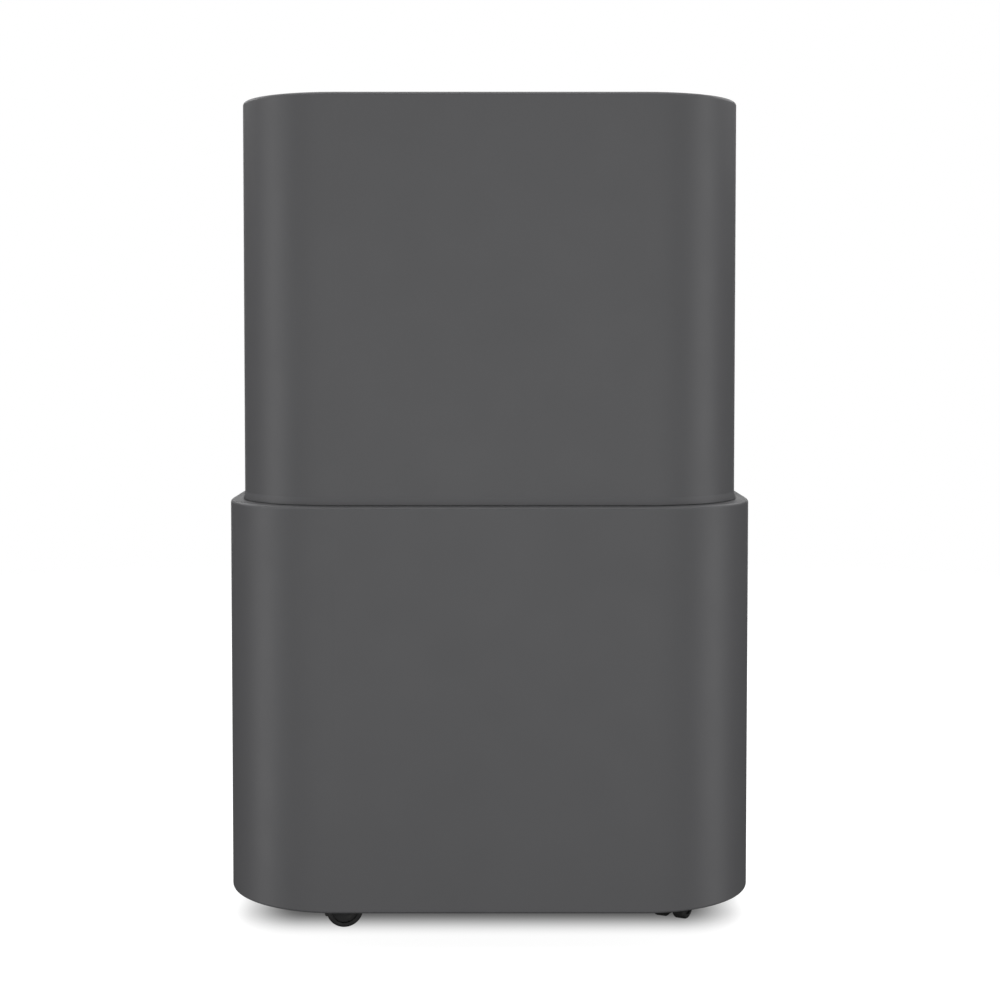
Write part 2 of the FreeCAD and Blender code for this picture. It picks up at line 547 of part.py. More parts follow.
def outlet_louvre():
    """Swing flap over the well: a rounded rear knuckle on two pins and stiffening ribs below."""
    x, front = WELL_X - 0.6, WELL_Y0 + 0.7
    plate = box(-x, x, front, FLAP_AXIS_Y, DECK_TOP_Z - FLAP_T, DECK_TOP_Z)
    plate = plate.makeFillet(1.2, [e for e in plate.Edges
                                   if e.BoundBox.YMax < front + 0.1 and e.BoundBox.XLength > 50])
    knuckle = cylinder(FLAP_EDGE_R, (-x, FLAP_AXIS_Y, FLAP_AXIS_Z), 2 * x, X)
    pins = cylinder(PIN_R, (-WELL_X - 1.7, FLAP_AXIS_Y, FLAP_AXIS_Z), 2 * WELL_X + 3.4, X)
    ribs = [box(rx - 1, rx + 1, front + 8, FLAP_AXIS_Y - 4, DECK_TOP_Z - FLAP_T - 3, DECK_TOP_Z - FLAP_T)
            for rx in (-72.0, 0.0, 72.0)]
    return fuse([plate, knuckle, pins] + ribs)


def louvre_motor():
    """Small geared stepper on the end of the well, in line with the louvre's pin."""
    x0, under_deck = WELL_X + 2.4, DECK_TOP_Z - DECK_T - 0.4
    y, z = FLAP_AXIS_Y + 8, under_deck - 12.2
    can = cylinder(12.0, (x0 + 1.4, y, z), 16, X)
    can = can.makeFillet(1.2, [e for e in can.Edges if e.BoundBox.XMin > x0 + 10])
    plate = side_prism(x0, x0 + 1.6, y - 17, y + 17, z - 4, z + 4, 3.5)
    terminals = box(x0 + 3, x0 + 14, y - 4, y + 4, z - 15, z - 10)
    return fuse([can, plate, terminals])


def control_panel():
    """Glossy fascia set in the deck, held by a flange under it."""
    top = plan_prism(-PANEL_X, PANEL_X, PANEL_Y0, PANEL_Y1, PANEL_TOP_Z - 3.6, PANEL_TOP_Z, PANEL_CORNER)
    top = round_edges(top, 0.8, level(PANEL_TOP_Z))
    flange_z = DECK_TOP_Z - DECK_T - 0.1
    lip = 4.0
    flange = plan_prism(-PANEL_X - lip, PANEL_X + lip, PANEL_Y0 - lip, PANEL_Y1 + lip,
                        flange_z - 1.6, flange_z, PANEL_CORNER + lip)
    below, above, slack = 500.0, 600.0, 0.2
    cuts = [cylinder(BUTTON_R + 0.25, (x, PANEL_MID_Y, below), above - below) for x in BUTTONS.values()]
    cuts.append(plan_prism(-LENS_X - slack, LENS_X + slack, PANEL_MID_Y - LENS_Y - slack,
                           PANEL_MID_Y + LENS_Y + slack, below, above, 3.2))
    return fuse([top, flange]).cut(Part.makeCompound(cuts))


def panel_under_z():
    """Underside of the fascia's flange."""
    return DECK_TOP_Z - DECK_T - 1.7


def display_lens():
    """Smoked window over the digits, with a flange that holds it under the fascia."""
    under, lip = panel_under_z(), 2.0
    y0, y1 = PANEL_MID_Y - LENS_Y, PANEL_MID_Y + LENS_Y
    window = plan_prism(-LENS_X, LENS_X, y0, y1, under - 1, PANEL_TOP_Z - 0.05, 3.0)
    flange = plan_prism(-LENS_X - lip, LENS_X + lip, y0 - lip, y1 + lip, under - 1.6, under - 0.1, 3.0)
    return fuse([window, flange])


def push_button(name):
    """Round cap with the flange that keeps it in the fascia."""
    x, under = BUTTONS[name], panel_under_z()
    cap = cylinder(BUTTON_R, (x, PANEL_MID_Y, under - 1), PANEL_TOP_Z + 0.9 - under + 1)
    cap = round_edges(cap, 0.7, level(PANEL_TOP_Z + 0.9))
    flange = cylinder(BUTTON_R + 1.6, (x, PANEL_MID_Y, under - 1.6), 1.4)
    return fuse([cap, flange])


def circuit_boards():
    return group([display_board(), main_board(), humidity_sensor()])


def display_board():
    """Circuit board under the fascia with a switch under each button and the digit block."""
    top = panel_under_z() - 4.2
    board = box(-PANEL_X, PANEL_X, PANEL_Y0 + 2, PANEL_Y1 - 2, top - 1.6, top)
    parts = [board]
    for x in BUTTONS.values():
        parts.append(box(x - 3, x + 3, PANEL_MID_Y - 3, PANEL_MID_Y + 3, top, top + 1.0))
        parts.append(cylinder(1.6, (x, PANEL_MID_Y, top + 1.0), 0.6))
    digits_y0, digits_y1 = PANEL_MID_Y - LENS_Y + 2, PANEL_MID_Y + LENS_Y - 2
    parts.append(box(-LENS_X + 3, LENS_X - 3, digits_y0, digits_y1, top, top + 2.4))
    return fuse(parts)


# ---------------------------------------------------------------- intake
def intake_grille():
    """Rear grille of the filter cassette: a frame with horizontal blades and a pull recess."""
    y0, y1 = UPPER_D - 9.6, UPPER_D + 1.2
    x, z0, z1 = INTAKE_X - 0.6, INTAKE_Z0 + 0.6, INTAKE_Z1 - 0.6
    frame = wall_prism(y0, y1, -x, x, z0, z1, 7.4)
    frame = frame.cut(wall_prism(y0 - 1, y0 + 5, -x + 4, x - 4, z0 + 4, z1 - 4, 4.0))
    windows = []
    rows, columns = 22, 3
    pitch = (z1 - z0 - 30) / rows
    width = (2 * x - 16) / columns
    for i in range(rows):
        for j in range(columns):
            wx, wz = -x + 8 + j * width, z0 + 8 + i * pitch
            windows.append(box(wx + 2, wx + width - 2, y0, y1 + 1, wz + 1.6, wz + pitch - 1.6))
    tab = wall_prism(y1 - 5, y1 + 1, -26, 26, z1 - 18, z1 - 7, 5.0)
    return frame.cut(Part.makeCompound(windows + [tab]))


def filter_mesh():
    """Washable pre-filter: a thin framed mesh held inside the grille."""
    y0 = UPPER_D - 9.4
    x, z0, z1 = INTAKE_X - 5.0, INTAKE_Z0 + 5.0, INTAKE_Z1 - 5.0
    frame = wall_prism(y0, y0 + 3, -x, x, z0, z1, 3.4)
    openings = []
    columns, rows, edge, bar = 4, 3, 3.0, 1.5
    w, h = (2 * x - 2 * edge) / columns, (z1 - z0 - 2 * edge) / rows
    for i in range(columns):
        for j in range(rows):
            ox, oz = -x + edge + i * w, z0 + edge + j * h
            openings.append(box(ox + bar, ox + w - bar, y0 - 1, y0 + 1.8, oz + bar, oz + h - bar))
    return frame.cut(Part.makeCompound(openings))


# ---------------------------------------------------------------- chassis and condensate
def chassis_deck():
    """Horizontal deck between the two bodies; it carries the coils and the fan housing."""
    x, y = INNER_W - 0.3, INNER_D - 0.3
    deck = centred_prism(x, y, CHASSIS_Z0, CHASSIS_Z1, UPPER_CORNER - WALL - 0.3)
    tabs = [screw_tab(x, z - 7, CHASSIS_Z0 + 1) for x, z in CABINET_SCREWS[2:]]
    low, height = CHASSIS_Z0 - 7, 20
    cuts = [cylinder(7.5, (0, SPOUT_Y, low), height),
            cylinder(6.0, (RISER_X, CONDENSER_Y, low), height),
            cylinder(6.0, (SUCTION_X, EVAPORATOR_Y, low), height),
            cylinder(6.5, (DRAIN_X, NIPPLE_Y, low), height),
            plan_prism(120, 146, 10, 40, low, low + height, 5.0)]
    cuts += [cylinder(SCREW_HOLE_R, (x, SCREW_TAB_Y - 5, z), 20, Y) for x, z in CABINET_SCREWS[2:]]
    return fuse([deck] + tabs).cut(Part.makeCompound(cuts))


def bulkhead():
    """Upright wall between the tank bay and the compressor, with the wiring notch."""
    wall = box(-155, 155, -4, -1.6, BASE_TOP_Z + 0.3, CHASSIS_Z0 - 0.3)
    flange = box(-155, 155, -1.6, 9, CHASSIS_Z0 - 2.4, CHASSIS_Z0 - 0.3)
    foot = box(-130, 130, -1.6, 3.4, BASE_TOP_Z + 0.3, BASE_TOP_Z + 2.4)
    beads = [box(x - 4, x + 4, -1.6, 0.6, 70, 255) for x in (-24.0, 14.0, 150.0)]
    return fuse([wall, flange, foot] + beads).cut(box(136, 146, -10, 5, 60, 84))


def condensate_tray():
    """Drip tray under both coils, with a chute forward to the tank and a nipple to the rear drain."""
    z0, z1 = CHASSIS_Z1 + 0.3, COIL_Z0 - 0.4
    tray = box(-124, 124, 44, 106, z0, z1).cut(box(-122, 122, 46, 104, z0 + 2, z1 + 1))
    chute = box(-14, 14, -33, 46, z0, z0 + 9)
    tip = CHASSIS_Z0 - 9
    spout = cylinder(6.5, (0, SPOUT_Y, tip), 15)
    nipple = cylinder(5.5, (DRAIN_X, NIPPLE_Y, tip), 15)
    shape = fuse([tray, chute, spout, nipple])
    cuts = [box(-12, 12, -31, 48, z0 + 2, z0 + 12),
            cylinder(4.5, (0, SPOUT_Y, tip - 1), z0 + 4 - tip),
            cylinder(4.0, (DRAIN_X, NIPPLE_Y, tip - 1), z0 + 4 - tip)]
    return shape.cut(Part.makeCompound(cuts))


def drain_outlet():
    """Recessed hose spout in the cabinet's rear wall, with an inner nipple."""
    floor_y = HALF_D - 16
    cup = tube_ring(DRAIN_CUP_R, DRAIN_CUP_R - 1.8, (DRAIN_X, floor_y, DRAIN_Z), 15.4, Y)
    floor = cylinder(DRAIN_CUP_R, (DRAIN_X, floor_y - 2, DRAIN_Z), 2, Y)
    spout = cylinder(DRAIN_R, (DRAIN_X, floor_y, DRAIN_Z), 13, Y)
    nipple = cylinder(5.0, (DRAIN_X, floor_y - 8, DRAIN_Z), 7, Y)
    shape = fuse([cup, floor, spout, nipple])
    bore = cylinder(DRAIN_BORE_R, (DRAIN_X, floor_y + 1, DRAIN_Z), 20, Y)
    inner = cylinder(3.5, (DRAIN_X, floor_y - 9, DRAIN_Z), 12, Y)
    return shape.cut(Part.makeCompound([bore, inner]))


def drain_plug():
    """Rubber plug in the hose spout, with a grip tab on its flange."""
    end_y = HALF_D - 3.0
    stem = cylinder(DRAIN_BORE_R - 0.06, (DRAIN_X, end_y - 11, DRAIN_Z), 11.1, Y)
    flange = cylinder(DRAIN_R - 0.3, (DRAIN_X, end_y + 0.05, DRAIN_Z), 1.2, Y)
    tab = box(DRAIN_X - 4, DRAIN_X + 4, end_y + 1.0, end_y + 2.8, DRAIN_Z - 1, DRAIN_Z + 1)
    return fuse([stem, flange, tab])


def drain_hose():
    """Internal hose from the tray's nipple to the rear outlet."""
    top, wall_y = CHASSIS_Z0 - 9.2, HALF_D - 16 - 8.2
    route = [(DRAIN_X, NIPPLE_Y, top), (DRAIN_X, NIPPLE_Y, DRAIN_Z), (DRAIN_X, wall_y, DRAIN_Z)]
    return pipe(route, 5.0, 9.0).cut(pipe(route, 3.6, 9.0))


def cord_gland():
    """Bushing where the supply cord leaves the cabinet."""
    inner_y = HALF_D - 14
    barrel = cylinder(GLAND_R, (CORD_X, inner_y, CORD_Z), 13.6, Y)
    flange = cylinder(GLAND_R + 3, (CORD_X, inner_y, CORD_Z), 4, Y)
    bore = cylinder(CORD_BORE_R, (CORD_X, inner_y - 10, CORD_Z), 60, Y)
    return fuse([barrel, flange]).cut(bore)


# ---------------------------------------------------------------- coils
def fin_block(mid_y):
    """Stack of fins joined through the tube rows, as one comb-shaped extrusion with drilled tube holes."""
    fins, thick = 57, 1.1
    pitch = 2 * COIL_X / fins
    core = TUBE_R + 2.0
    front, rear = [], []
    for i in range(fins):
        x0 = -COIL_X + i * pitch + (pitch - thick) / 2
        front += [(x0, core), (x0, COIL_HALF), (x0 + thick, COIL_HALF), (x0 + thick, core)]
        rear += [(x0, -core), (x0, -COIL_HALF), (x0 + thick, -COIL_HALF), (x0 + thick, -core)]
    left, right = [(-COIL_X, -core), (-COIL_X, core)], [(COIL_X, core), (COIL_X, -core)]
    outline = left + front + right + rear[::-1]
    points = [V(x, mid_y + y, COIL_Z0) for x, y in outline]
    block = Part.Face(Part.makePolygon(points + points[:1])).extrude(Z * (COIL_Z1 - COIL_Z0))
    holes = [cylinder(TUBE_R + 0.1, (-COIL_X - 5, mid_y, z), 2 * COIL_X + 10, X) for z in run_heights()]
    return block.cut(Part.makeCompound(holes))


def run_heights():
    first = (COIL_Z0 + COIL_Z1) / 2 - COIL_PITCH * (COIL_RUNS - 1) / 2
    return [first + COIL_PITCH * i for i in range(COIL_RUNS)]


def coil_tubes(mid_y):
    """Serpentine: straight runs through the fins joined by half-circle bends, ends on the left."""
    bend, reach, end_x = COIL_PITCH / 2, TUBE_REACH, COIL_END_X + 0.1
    heights = run_heights()
    edges, side = [], -1
    for i, z in enumerate(heights):
        start = end_x if i == 0 else side * reach
        stop = end_x if i == COIL_RUNS - 1 else -side * reach
        edges.append(Part.LineSegment(V(start, mid_y, z), V(stop, mid_y, z)).toShape())
        side = -side
        if i < COIL_RUNS - 1:
            x = side * reach
            arc = Part.Arc(V(x, mid_y, z), V(x + side * bend, mid_y, z + bend), V(x, mid_y, z + COIL_PITCH))
            edges.append(arc.toShape())
    path = Part.Wire(edges)
    start = V(end_x, mid_y, heights[0])
    rings = [Part.Wire(Part.makeCircle(r, start, X)) for r in (TUBE_R, TUBE_R - TUBE_WALL)]
    outer, inner = [path.makePipeShell([ring], True, True) for ring in rings]
    return outer.cut(inner)


# ---------------------------------------------------------------- refrigerant circuit
def compressor_feet():
    """Plan positions of the compressor's three bolts."""
    turns = [math.radians(angle) for angle in (30, 150, 270)]
    reach = [(FOOT_CIRCLE_R * math.cos(a), FOOT_CIRCLE_R * math.sin(a)) for a in turns]
    return [(COMPRESSOR_X + x, COMPRESSOR_Y + y) for x, y in reach]


def compressor():
    """Welded canister with a foot plate, a discharge stub on top and a suction stub at the side."""
    r, z0, z1 = COMPRESSOR_R, COMPRESSOR_Z0, COMPRESSOR_Z1
    dome, foot_t = 20.0, 4.0

    def at(x, z):
        return V(COMPRESSOR_X + x, COMPRESSOR_Y, z)

    curves = [Part.LineSegment(at(0, z0), at(r - 14, z0)),
              Part.Arc(at(r - 14, z0), at(r - 4, z0 + 4), at(r, z0 + 14)),
              Part.LineSegment(at(r, z0 + 14), at(r, z1 - dome)),
              Part.Arc(at(r, z1 - dome), at(r * 0.72, z1 - dome * 0.27), at(0, z1)),
              Part.LineSegment(at(0, z1), at(0, z0))]
    can = Part.Face(Part.Wire([curve.toShape() for curve in curves])).revolve(at(0, 0), Z, 360)
    weld = tube_ring(r + 1.2, r - 2, (COMPRESSOR_X, COMPRESSOR_Y, z1 - 54), 5)
    feet = [cylinder(11.0, (x, y, z0 - 3), foot_t) for x, y in compressor_feet()]
    plate = prism([V(x, y, z0 - 3) for x, y in compressor_feet()], [0, 0, 0], Z * foot_t)
    stubs = [cylinder(5.5, (COMPRESSOR_X, COMPRESSOR_Y, z1 - 6), 12),
             cylinder(6.0, (COMPRESSOR_X - r - 6, COMPRESSOR_Y, SUCTION_Z), 12, X)]
    shape = fuse([can, weld, plate] + feet + stubs)
    return shape.cut(Part.makeCompound([cylinder(4.2, (x, y, z0 - 8), 20) for x, y in compressor_feet()]))


def compressor_grommets():
    """Rubber isolators between the foot plate and the base."""
    low, plate = BASE_TOP_Z + 3.1, COMPRESSOR_Z0 - 3
    parts = []
    for x, y in compressor_feet():
        waist = tube_ring(12, 7.5, (x, y, (low + plate) / 2 - 1.5), 3)
        bore = cylinder(3.2, (x, y, low - 1), 30)
        parts.append(cylinder(9.0, (x, y, low), plate - low - 0.1).cut(bore).cut(waist))
    return group(parts)


def terminal_cover():
    """Cap over the compressor's terminals, on its right side."""
    x0, x1 = COMPRESSOR_X, COMPRESSOR_X + COMPRESSOR_R + 14
    cap = side_prism(x0, x1, COMPRESSOR_Y - 18, COMPRESSOR_Y + 18, 112, 150, 6.0)
    cap = round_edges(cap, 2.5, lambda b: b.XMin > x1 - 0.1)
    return cap.cut(cylinder(COMPRESSOR_R + 0.2, (COMPRESSOR_X, COMPRESSOR_Y, 100), 60))


def flat_circle(b):
    """Test for level edges wide enough to be the rim of a can."""
    return b.ZLength < 1 and b.XLength > 10


def suction_line():
    """Accumulator beside the compressor, and its pipe from the evaporator."""
    x, y, top = ACCUMULATOR_X, COMPRESSOR_Y, COMPRESSOR_Z1 - 24
    foot, pipe_r = 94.0, 4.0
    can = round_edges(cylinder(ACCUMULATOR_R, (x, y, foot), top - foot), 7.0, flat_circle)
    stub_x = COMPRESSOR_X - COMPRESSOR_R - 6.1
    link = pipe([(x, y, foot + 2), (x, y, SUCTION_Z), (stub_x, y, SUCTION_Z)], pipe_r, 8.0)
    low, turn_z = run_heights()[0], top + 34
    route = [(COIL_END_X, EVAPORATOR_Y, low), (SUCTION_X, EVAPORATOR_Y, low),
             (SUCTION_X, EVAPORATOR_Y, turn_z), (x, y, turn_z), (x, y, top - 2)]
    return fuse([can, link, pipe(route, pipe_r, 10.0)])


def discharge_pipe():
    """Hot gas pipe from the top of the compressor to the condenser's upper run."""
    top, across_z = run_heights()[-1], CHASSIS_Z0 - 15
    route = [(COMPRESSOR_X, COMPRESSOR_Y, COMPRESSOR_Z1 + 6.1), (COMPRESSOR_X, COMPRESSOR_Y, across_z),
             (RISER_X, CONDENSER_Y, across_z), (RISER_X, CONDENSER_Y, top), (COIL_END_X, CONDENSER_Y, top)]
    return pipe(route, TUBE_R, 12.0)


def liquid_line():
    """Filter drier after the condenser, and the thin capillary on to the evaporator."""
    x, y, z0, z1 = PIPE_X, PIPE_Y, 334.0, 396.0
    can = round_edges(cylinder(9.0, (x, y, z0), z1 - z0), 4.0, flat_circle)
    low, top = run_heights()[0], run_heights()[-1]
    link = pipe([(COIL_END_X, CONDENSER_Y, low), (x, CONDENSER_Y, low), (x, y, low), (x, y, z0 + 2)], 3.0, 8.0)
    across_z = z1 + 24
    route = [(x, y, z1 - 2), (x, y, across_z), (x, EVAPORATOR_Y, across_z),
             (x + 2, EVAPORATOR_Y, top), (COIL_END_X, EVAPORATOR_Y, top)]
    return fuse([can, link, pipe(route, 1.5, 12.0)])


# ---------------------------------------------------------------- fan
def spiral_point(angle, offset, y):
    """Point of the volute wall at an angle in degrees, anticlockwise from +X as seen from the front."""
    share = (angle - 120.0) / 240.0
    radius = 80.0 + 28.0 * share + offset
    a = math.radians(angle)
    return V(radius * math.cos(a), y, FAN_Z + radius * math.sin(a))


def volute(offset, y0, y1, top):
    """Solid inside of the fan housing: spiral, then a duct that flares to the outlet well's width."""
    curve = Part.BSplineCurve()
    points = [spiral_point(120 + 20 * i, offset, y0) for i in range(13)]
    curve.interpolate(points)
    flare, right = WELL_X - 2 + offset, points[-1].x
    corners = [points[-1], V(right, y0, top - 24), V(flare, y0, top - 10), V(flare, y0, top),
               V(-flare, y0, top), V(-flare, y0, top - 14), points[0]]
    edges = [curve.toShape()]
    edges += [Part.LineSegment(a, b).toShape() for a, b in zip(corners, corners[1:])]
    return Part.Face(Part.Wire(edges)).extrude(Y * (y1 - y0))


def fan_housing():
    """Volute casing that blows up into the outlet well, open to the rear."""
    top = WELL_Z0 - 0.4
    shape = volute(2.0, FAN_Y0 - 2, FAN_Y1, top)
    shape = shape.cut(volute(0.0, FAN_Y0, FAN_Y1 + 1, top + 1))
    shape = shape.cut(cylinder(9.0, (0, FAN_Y0 - 5, FAN_Z), 10, Y))
    foot_z, leg_x = CHASSIS_Z1 + 0.3, (-62.0, 62.0)
    feet = [box(x - 14, x + 14, FAN_Y0 - 2, FAN_Y1, foot_z, CHASSIS_Z1 + 3) for x in leg_x]
    legs = [box(x - 2, x + 2, FAN_Y0 - 2, FAN_Y1, foot_z, FAN_Z - 50) for x in leg_x]
    legs = [leg.cut(volute(1.0, FAN_Y0 - 3, FAN_Y1 + 1, top)) for leg in legs]
    holes = [cylinder(1.6, (x, FAN_Y0 - 4, z), 6, Y) for x, z in motor_screw_places()]
    return fuse([shape] + feet + legs).cut(Part.makeCompound(holes))


def inlet_ring():
    """Rear plate of the fan housing, with the rounded inlet throat."""
    y0, throat_r, lip = FAN_Y1 + 0.1, 63.0, 3.0
    plate = volute(2.0, y0, y0 + 2, WELL_Z0 - 0.4)
    throat = tube_ring(throat_r + lip, throat_r, (0, y0, FAN_Z), 8, Y)
    bell = Part.makeTorus(throat_r + lip, lip, V(0, y0 + 8, FAN_Z), Y)
    shape = fuse([plate.cut(cylinder(throat_r + 1, (0, y0 - 1, FAN_Z), 4, Y)), throat, bell])
    return shape.cut(cylinder(throat_r, (0, y0 - 5, FAN_Z), 30, Y))


def fan_wheel():
    """Blower wheel: hub disc, forward-curved blades and a front ring."""
    y0, blades = FAN_Y0 + 5, 36
    disc = cylinder(FAN_R, (0, y0, FAN_Z), 2, Y)
    hub = cylinder(11.0, (0, y0, FAN_Z), 20, Y)
    ring = tube_ring(FAN_R, FAN_R - 5, (0, y0 + FAN_W - 2, FAN_Z), 2, Y)
    sweep = 7.0
    inner_r, outer_r, thick, bow = FAN_R - 14, FAN_R - 0.6, 1.2, 1.0
    mid_r = (inner_r + outer_r) / 2

    def at(radius, angle):
        turn = math.radians(angle)
        return V(radius * math.cos(turn), y0 + 1, FAN_Z + radius * math.sin(turn))

    a, b, c, d = at(inner_r, 0), at(outer_r, sweep), at(outer_r, sweep + thick), at(inner_r, thick)
    curves = [Part.Arc(a, at(mid_r, bow), b), Part.LineSegment(b, c),
              Part.Arc(c, at(mid_r, bow + thick), d), Part.LineSegment(d, a)]
    outline = Part.Wire([curve.toShape() for curve in curves])
    blade = Part.Face(outline).extrude(Y * (FAN_W - 2))
    parts = []
    for i in range(blades):
        one = blade.copy()
        one.rotate(V(0, 0, FAN_Z), Y, 360.0 / blades * i)
        parts.append(one)
    shape = fuse([disc, hub, ring] + parts)
    return shape.cut(cylinder(SHAFT_R + 0.02, (0, -100, FAN_Z), 200, Y))


def fan_shaft():
    """Motor shaft with the nut that holds the wheel."""
    shaft = cylinder(SHAFT_R, (0, -78, FAN_Z), 72, Y)
    nut_y, nut_r = FAN_Y0 + 25.2, 7.5
    turns = [math.radians(60 * i) for i in range(6)]
    points = [V(nut_r * math.cos(turn), nut_y, FAN_Z + nut_r * math.sin(turn)) for turn in turns]
    return fuse([shaft, prism(points, [0] * 6, Y * 5)])


def motor_screw_places():
    """Across and up positions of the four holes that hold the motor."""
    reach = 30.0
    return [(reach * sx, FAN_Z + reach * sz) for sx in (-1, 1) for sz in (-1, 1)]


def fan_motor():
    """Motor in front of the housing, with cooling slots and a mounting flange."""
    y0, y1 = -86.0, FAN_Y0 - 2.2
    body = cylinder(38.0, (0, y0, FAN_Z), y1 - y0 - 3, Y)
    body = body.makeFillet(5.0, [e for e in body.Edges if e.BoundBox.YMax < y0 + 0.1 and e.Length > 50])
    flange = cylinder(48.0, (0, y1 - 3, FAN_Z), 3, Y)
    shape = fuse([body, flange]).cut(cylinder(SHAFT_R + RUNNING, (0, -80, FAN_Z), 60, Y))
    vents = []
    for i in range(12):
        slot = box(30, 44, y0 + 14, y0 + 26, FAN_Z - 2, FAN_Z + 2)
        slot.rotate(V(0, 0, FAN_Z), Y, 30.0 * i)
        vents.append(slot)
    holes = [cylinder(1.6, (x, y1 - 5, z), 8, Y) for x, z in motor_screw_places()]
    return shape.cut(Part.makeCompound(vents + holes))


# ---------------------------------------------------------------- electrics
def box_prism(inset, z0, z1, corner):
    """Prism on the electrical box's plan outline, moved in by the inset."""
    return plan_prism(BOX_X0 + inset, BOX_X1 - inset, BOX_Y0 + inset, BOX_Y1 - inset, z0, z1, corner)


def electrical_box():
    """Open box under the drain, beside the compressor."""
    return box_prism(0, BOX_Z0, BOX_Z1, 4.0).cut(box_prism(2.0, BOX_Z0 + 2, BOX_Z1 + 1, 2.0))


def electrical_box_lid():
    """Lid with a skirt that fits inside the box."""
    skirt = box_prism(2.4, BOX_Z1 - 3, BOX_Z1 + 0.3, 2.0).cut(box_prism(4.0, BOX_Z1 - 4, BOX_Z1, 2.0))
    return fuse([box_prism(-1.0, BOX_Z1 + 0.2, BOX_Z1 + 2.4, 5.0), skirt])


def main_board():
    """Power board with its relay, transformer and filter capacitors."""
    z = BOX_Z0 + 9
    top = z + 1.6
    parts = [box(BOX_X0 + 4, BOX_X1 - 4, BOX_Y0 + 4, BOX_Y1 - 4, z, top)]
    for x in (BOX_X0 + 10, BOX_X1 - 10):
        parts += [cylinder(3.0, (x, y, BOX_Z0 + 2.1), 7) for y in (BOX_Y0 + 10, BOX_Y1 - 10)]
    parts.append(box(BOX_X0 + 12, BOX_X0 + 40, 56, 84, top, z + 26))
    parts.append(box(BOX_X1 - 32, BOX_X1 - 12, 60, 76, top, z + 18))
    parts += [cylinder(5.0, (BOX_X0 + 20 + 14 * i, 34, top), 20) for i in range(4)]
    return fuse(parts)


def run_capacitor():
    """Compressor's run capacitor, standing on the base pan, with two blade terminals."""
    x, y, z = CAPACITOR_X, CAPACITOR_Y, BASE_TOP_Z + 0.2
    top = z + CAPACITOR_H
    can = round_edges(cylinder(CAPACITOR_R, (x, y, z), CAPACITOR_H), 2.0, level(top))
    blades = [box(x + s * 6 - 0.4, x + s * 6 + 0.4, y - 3, y + 3, top - 1.2, top + 8.8) for s in (-1, 1)]
    return fuse([can] + blades)


def tank_switch():
    """Reed switch body on the bulkhead, level with the float's magnet."""
    return round_edges(box(FLOAT_X - 12, FLOAT_X + 12, -1.4, 6.6, 176, 190), 1.5, lambda b: b.YMin > 6.5)


def humidity_sensor():
    """Slotted cage over the evaporator, in the incoming air."""
    y, z = EVAPORATOR_Y, COIL_Z1
    cage = box(-9, 9, y - 5, y + 7, z + 0.3, z + 18)
    slots = [box(-6, 6, y - 10, y + 5, z + 3 + 3 * i, z + 4.6 + 3 * i) for i in range(5)]
    return cage.cut(Part.makeCompound(slots))


# ---------------------------------------------------------------- build
def nodes():
    """Every subcomponent's shape by its node name."""
    made = {
        "lower_cabinet": lower_cabinet(),
        "base_pan": base_pan(),
        "pull_cups": side_pair(pull_cup()),
        "tank_face": tank_face(),
        "water_tank": water_tank(),
        "tank_cover": tank_cover(),
        "tank_bail": tank_bail(),
        "float_arm": float_arm(),
        "float_magnet": float_magnet(),
        "front_shell": front_shell(),
        "rear_shell": rear_shell(),
        "screws": screws(),
        "grip_cups": side_pair(grip_cup()),
        "top_cover": top_cover(),
        "outlet_grille": outlet_grille(),
        "outlet_louvre": outlet_louvre(),
        "louvre_motor": louvre_motor(),
        "control_panel": control_panel(),
        "display_lens": display_lens(),
        "circuit_boards": circuit_boards(),
        "intake_grille": intake_grille(),
        "filter_mesh": filter_mesh(),
        "chassis_deck": chassis_deck(),
        "bulkhead": bulkhead(),
        "condensate_tray": condensate_tray(),
        "drain_outlet": drain_outlet(),
        "drain_plug": drain_plug(),
        "drain_hose": drain_hose(),
        "cord_gland": cord_gland(),
        "condenser_fins": fin_block(CONDENSER_Y),
        "evaporator_fins": fin_block(EVAPORATOR_Y),
        "coil_tubes": group([coil_tubes(CONDENSER_Y), coil_tubes(EVAPORATOR_Y)]),
        "compressor": compressor(),
        "compressor_grommets": compressor_grommets(),
        "terminal_cover": terminal_cover(),
        "suction_line": suction_line(),
        "discharge_pipe": discharge_pipe(),
        "liquid_line": liquid_line(),
        "fan_housing": fan_housing(),
        "inlet_ring": inlet_ring(),
        "fan_wheel": fan_wheel(),
        "fan_shaft": fan_shaft(),
        "fan_motor": fan_motor(),
        "electrical_box": electrical_box(),
        "electrical_box_lid": electrical_box_lid(),
        "run_capacitor": run_capacitor(),
        "tank_switch": tank_switch(),
    }
    for name in BUTTONS:
        made[name] = push_button(name)
    for corner in CASTER_SIGNS:
        made["caster_hood_" + corner] = caster_hood(corner)
        made["caster_wheels_" + corner] = caster_wheels(corner)
    return made


def main():
    os.makedirs("parts", exist_ok=True)
    for name, shape in nodes().items():
        shape.exportStep("parts/" + name + ".step")
        bounds = shape.BoundBox
        print(f"{name:28s} valid={shape.isValid()} solids={len(shape.Solids)}"
              f" volume={shape.Volume / 1000:9.2f} cm3 z {bounds.ZMin:.1f}..{bounds.ZMax:.1f}")


main()
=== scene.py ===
import json
import math

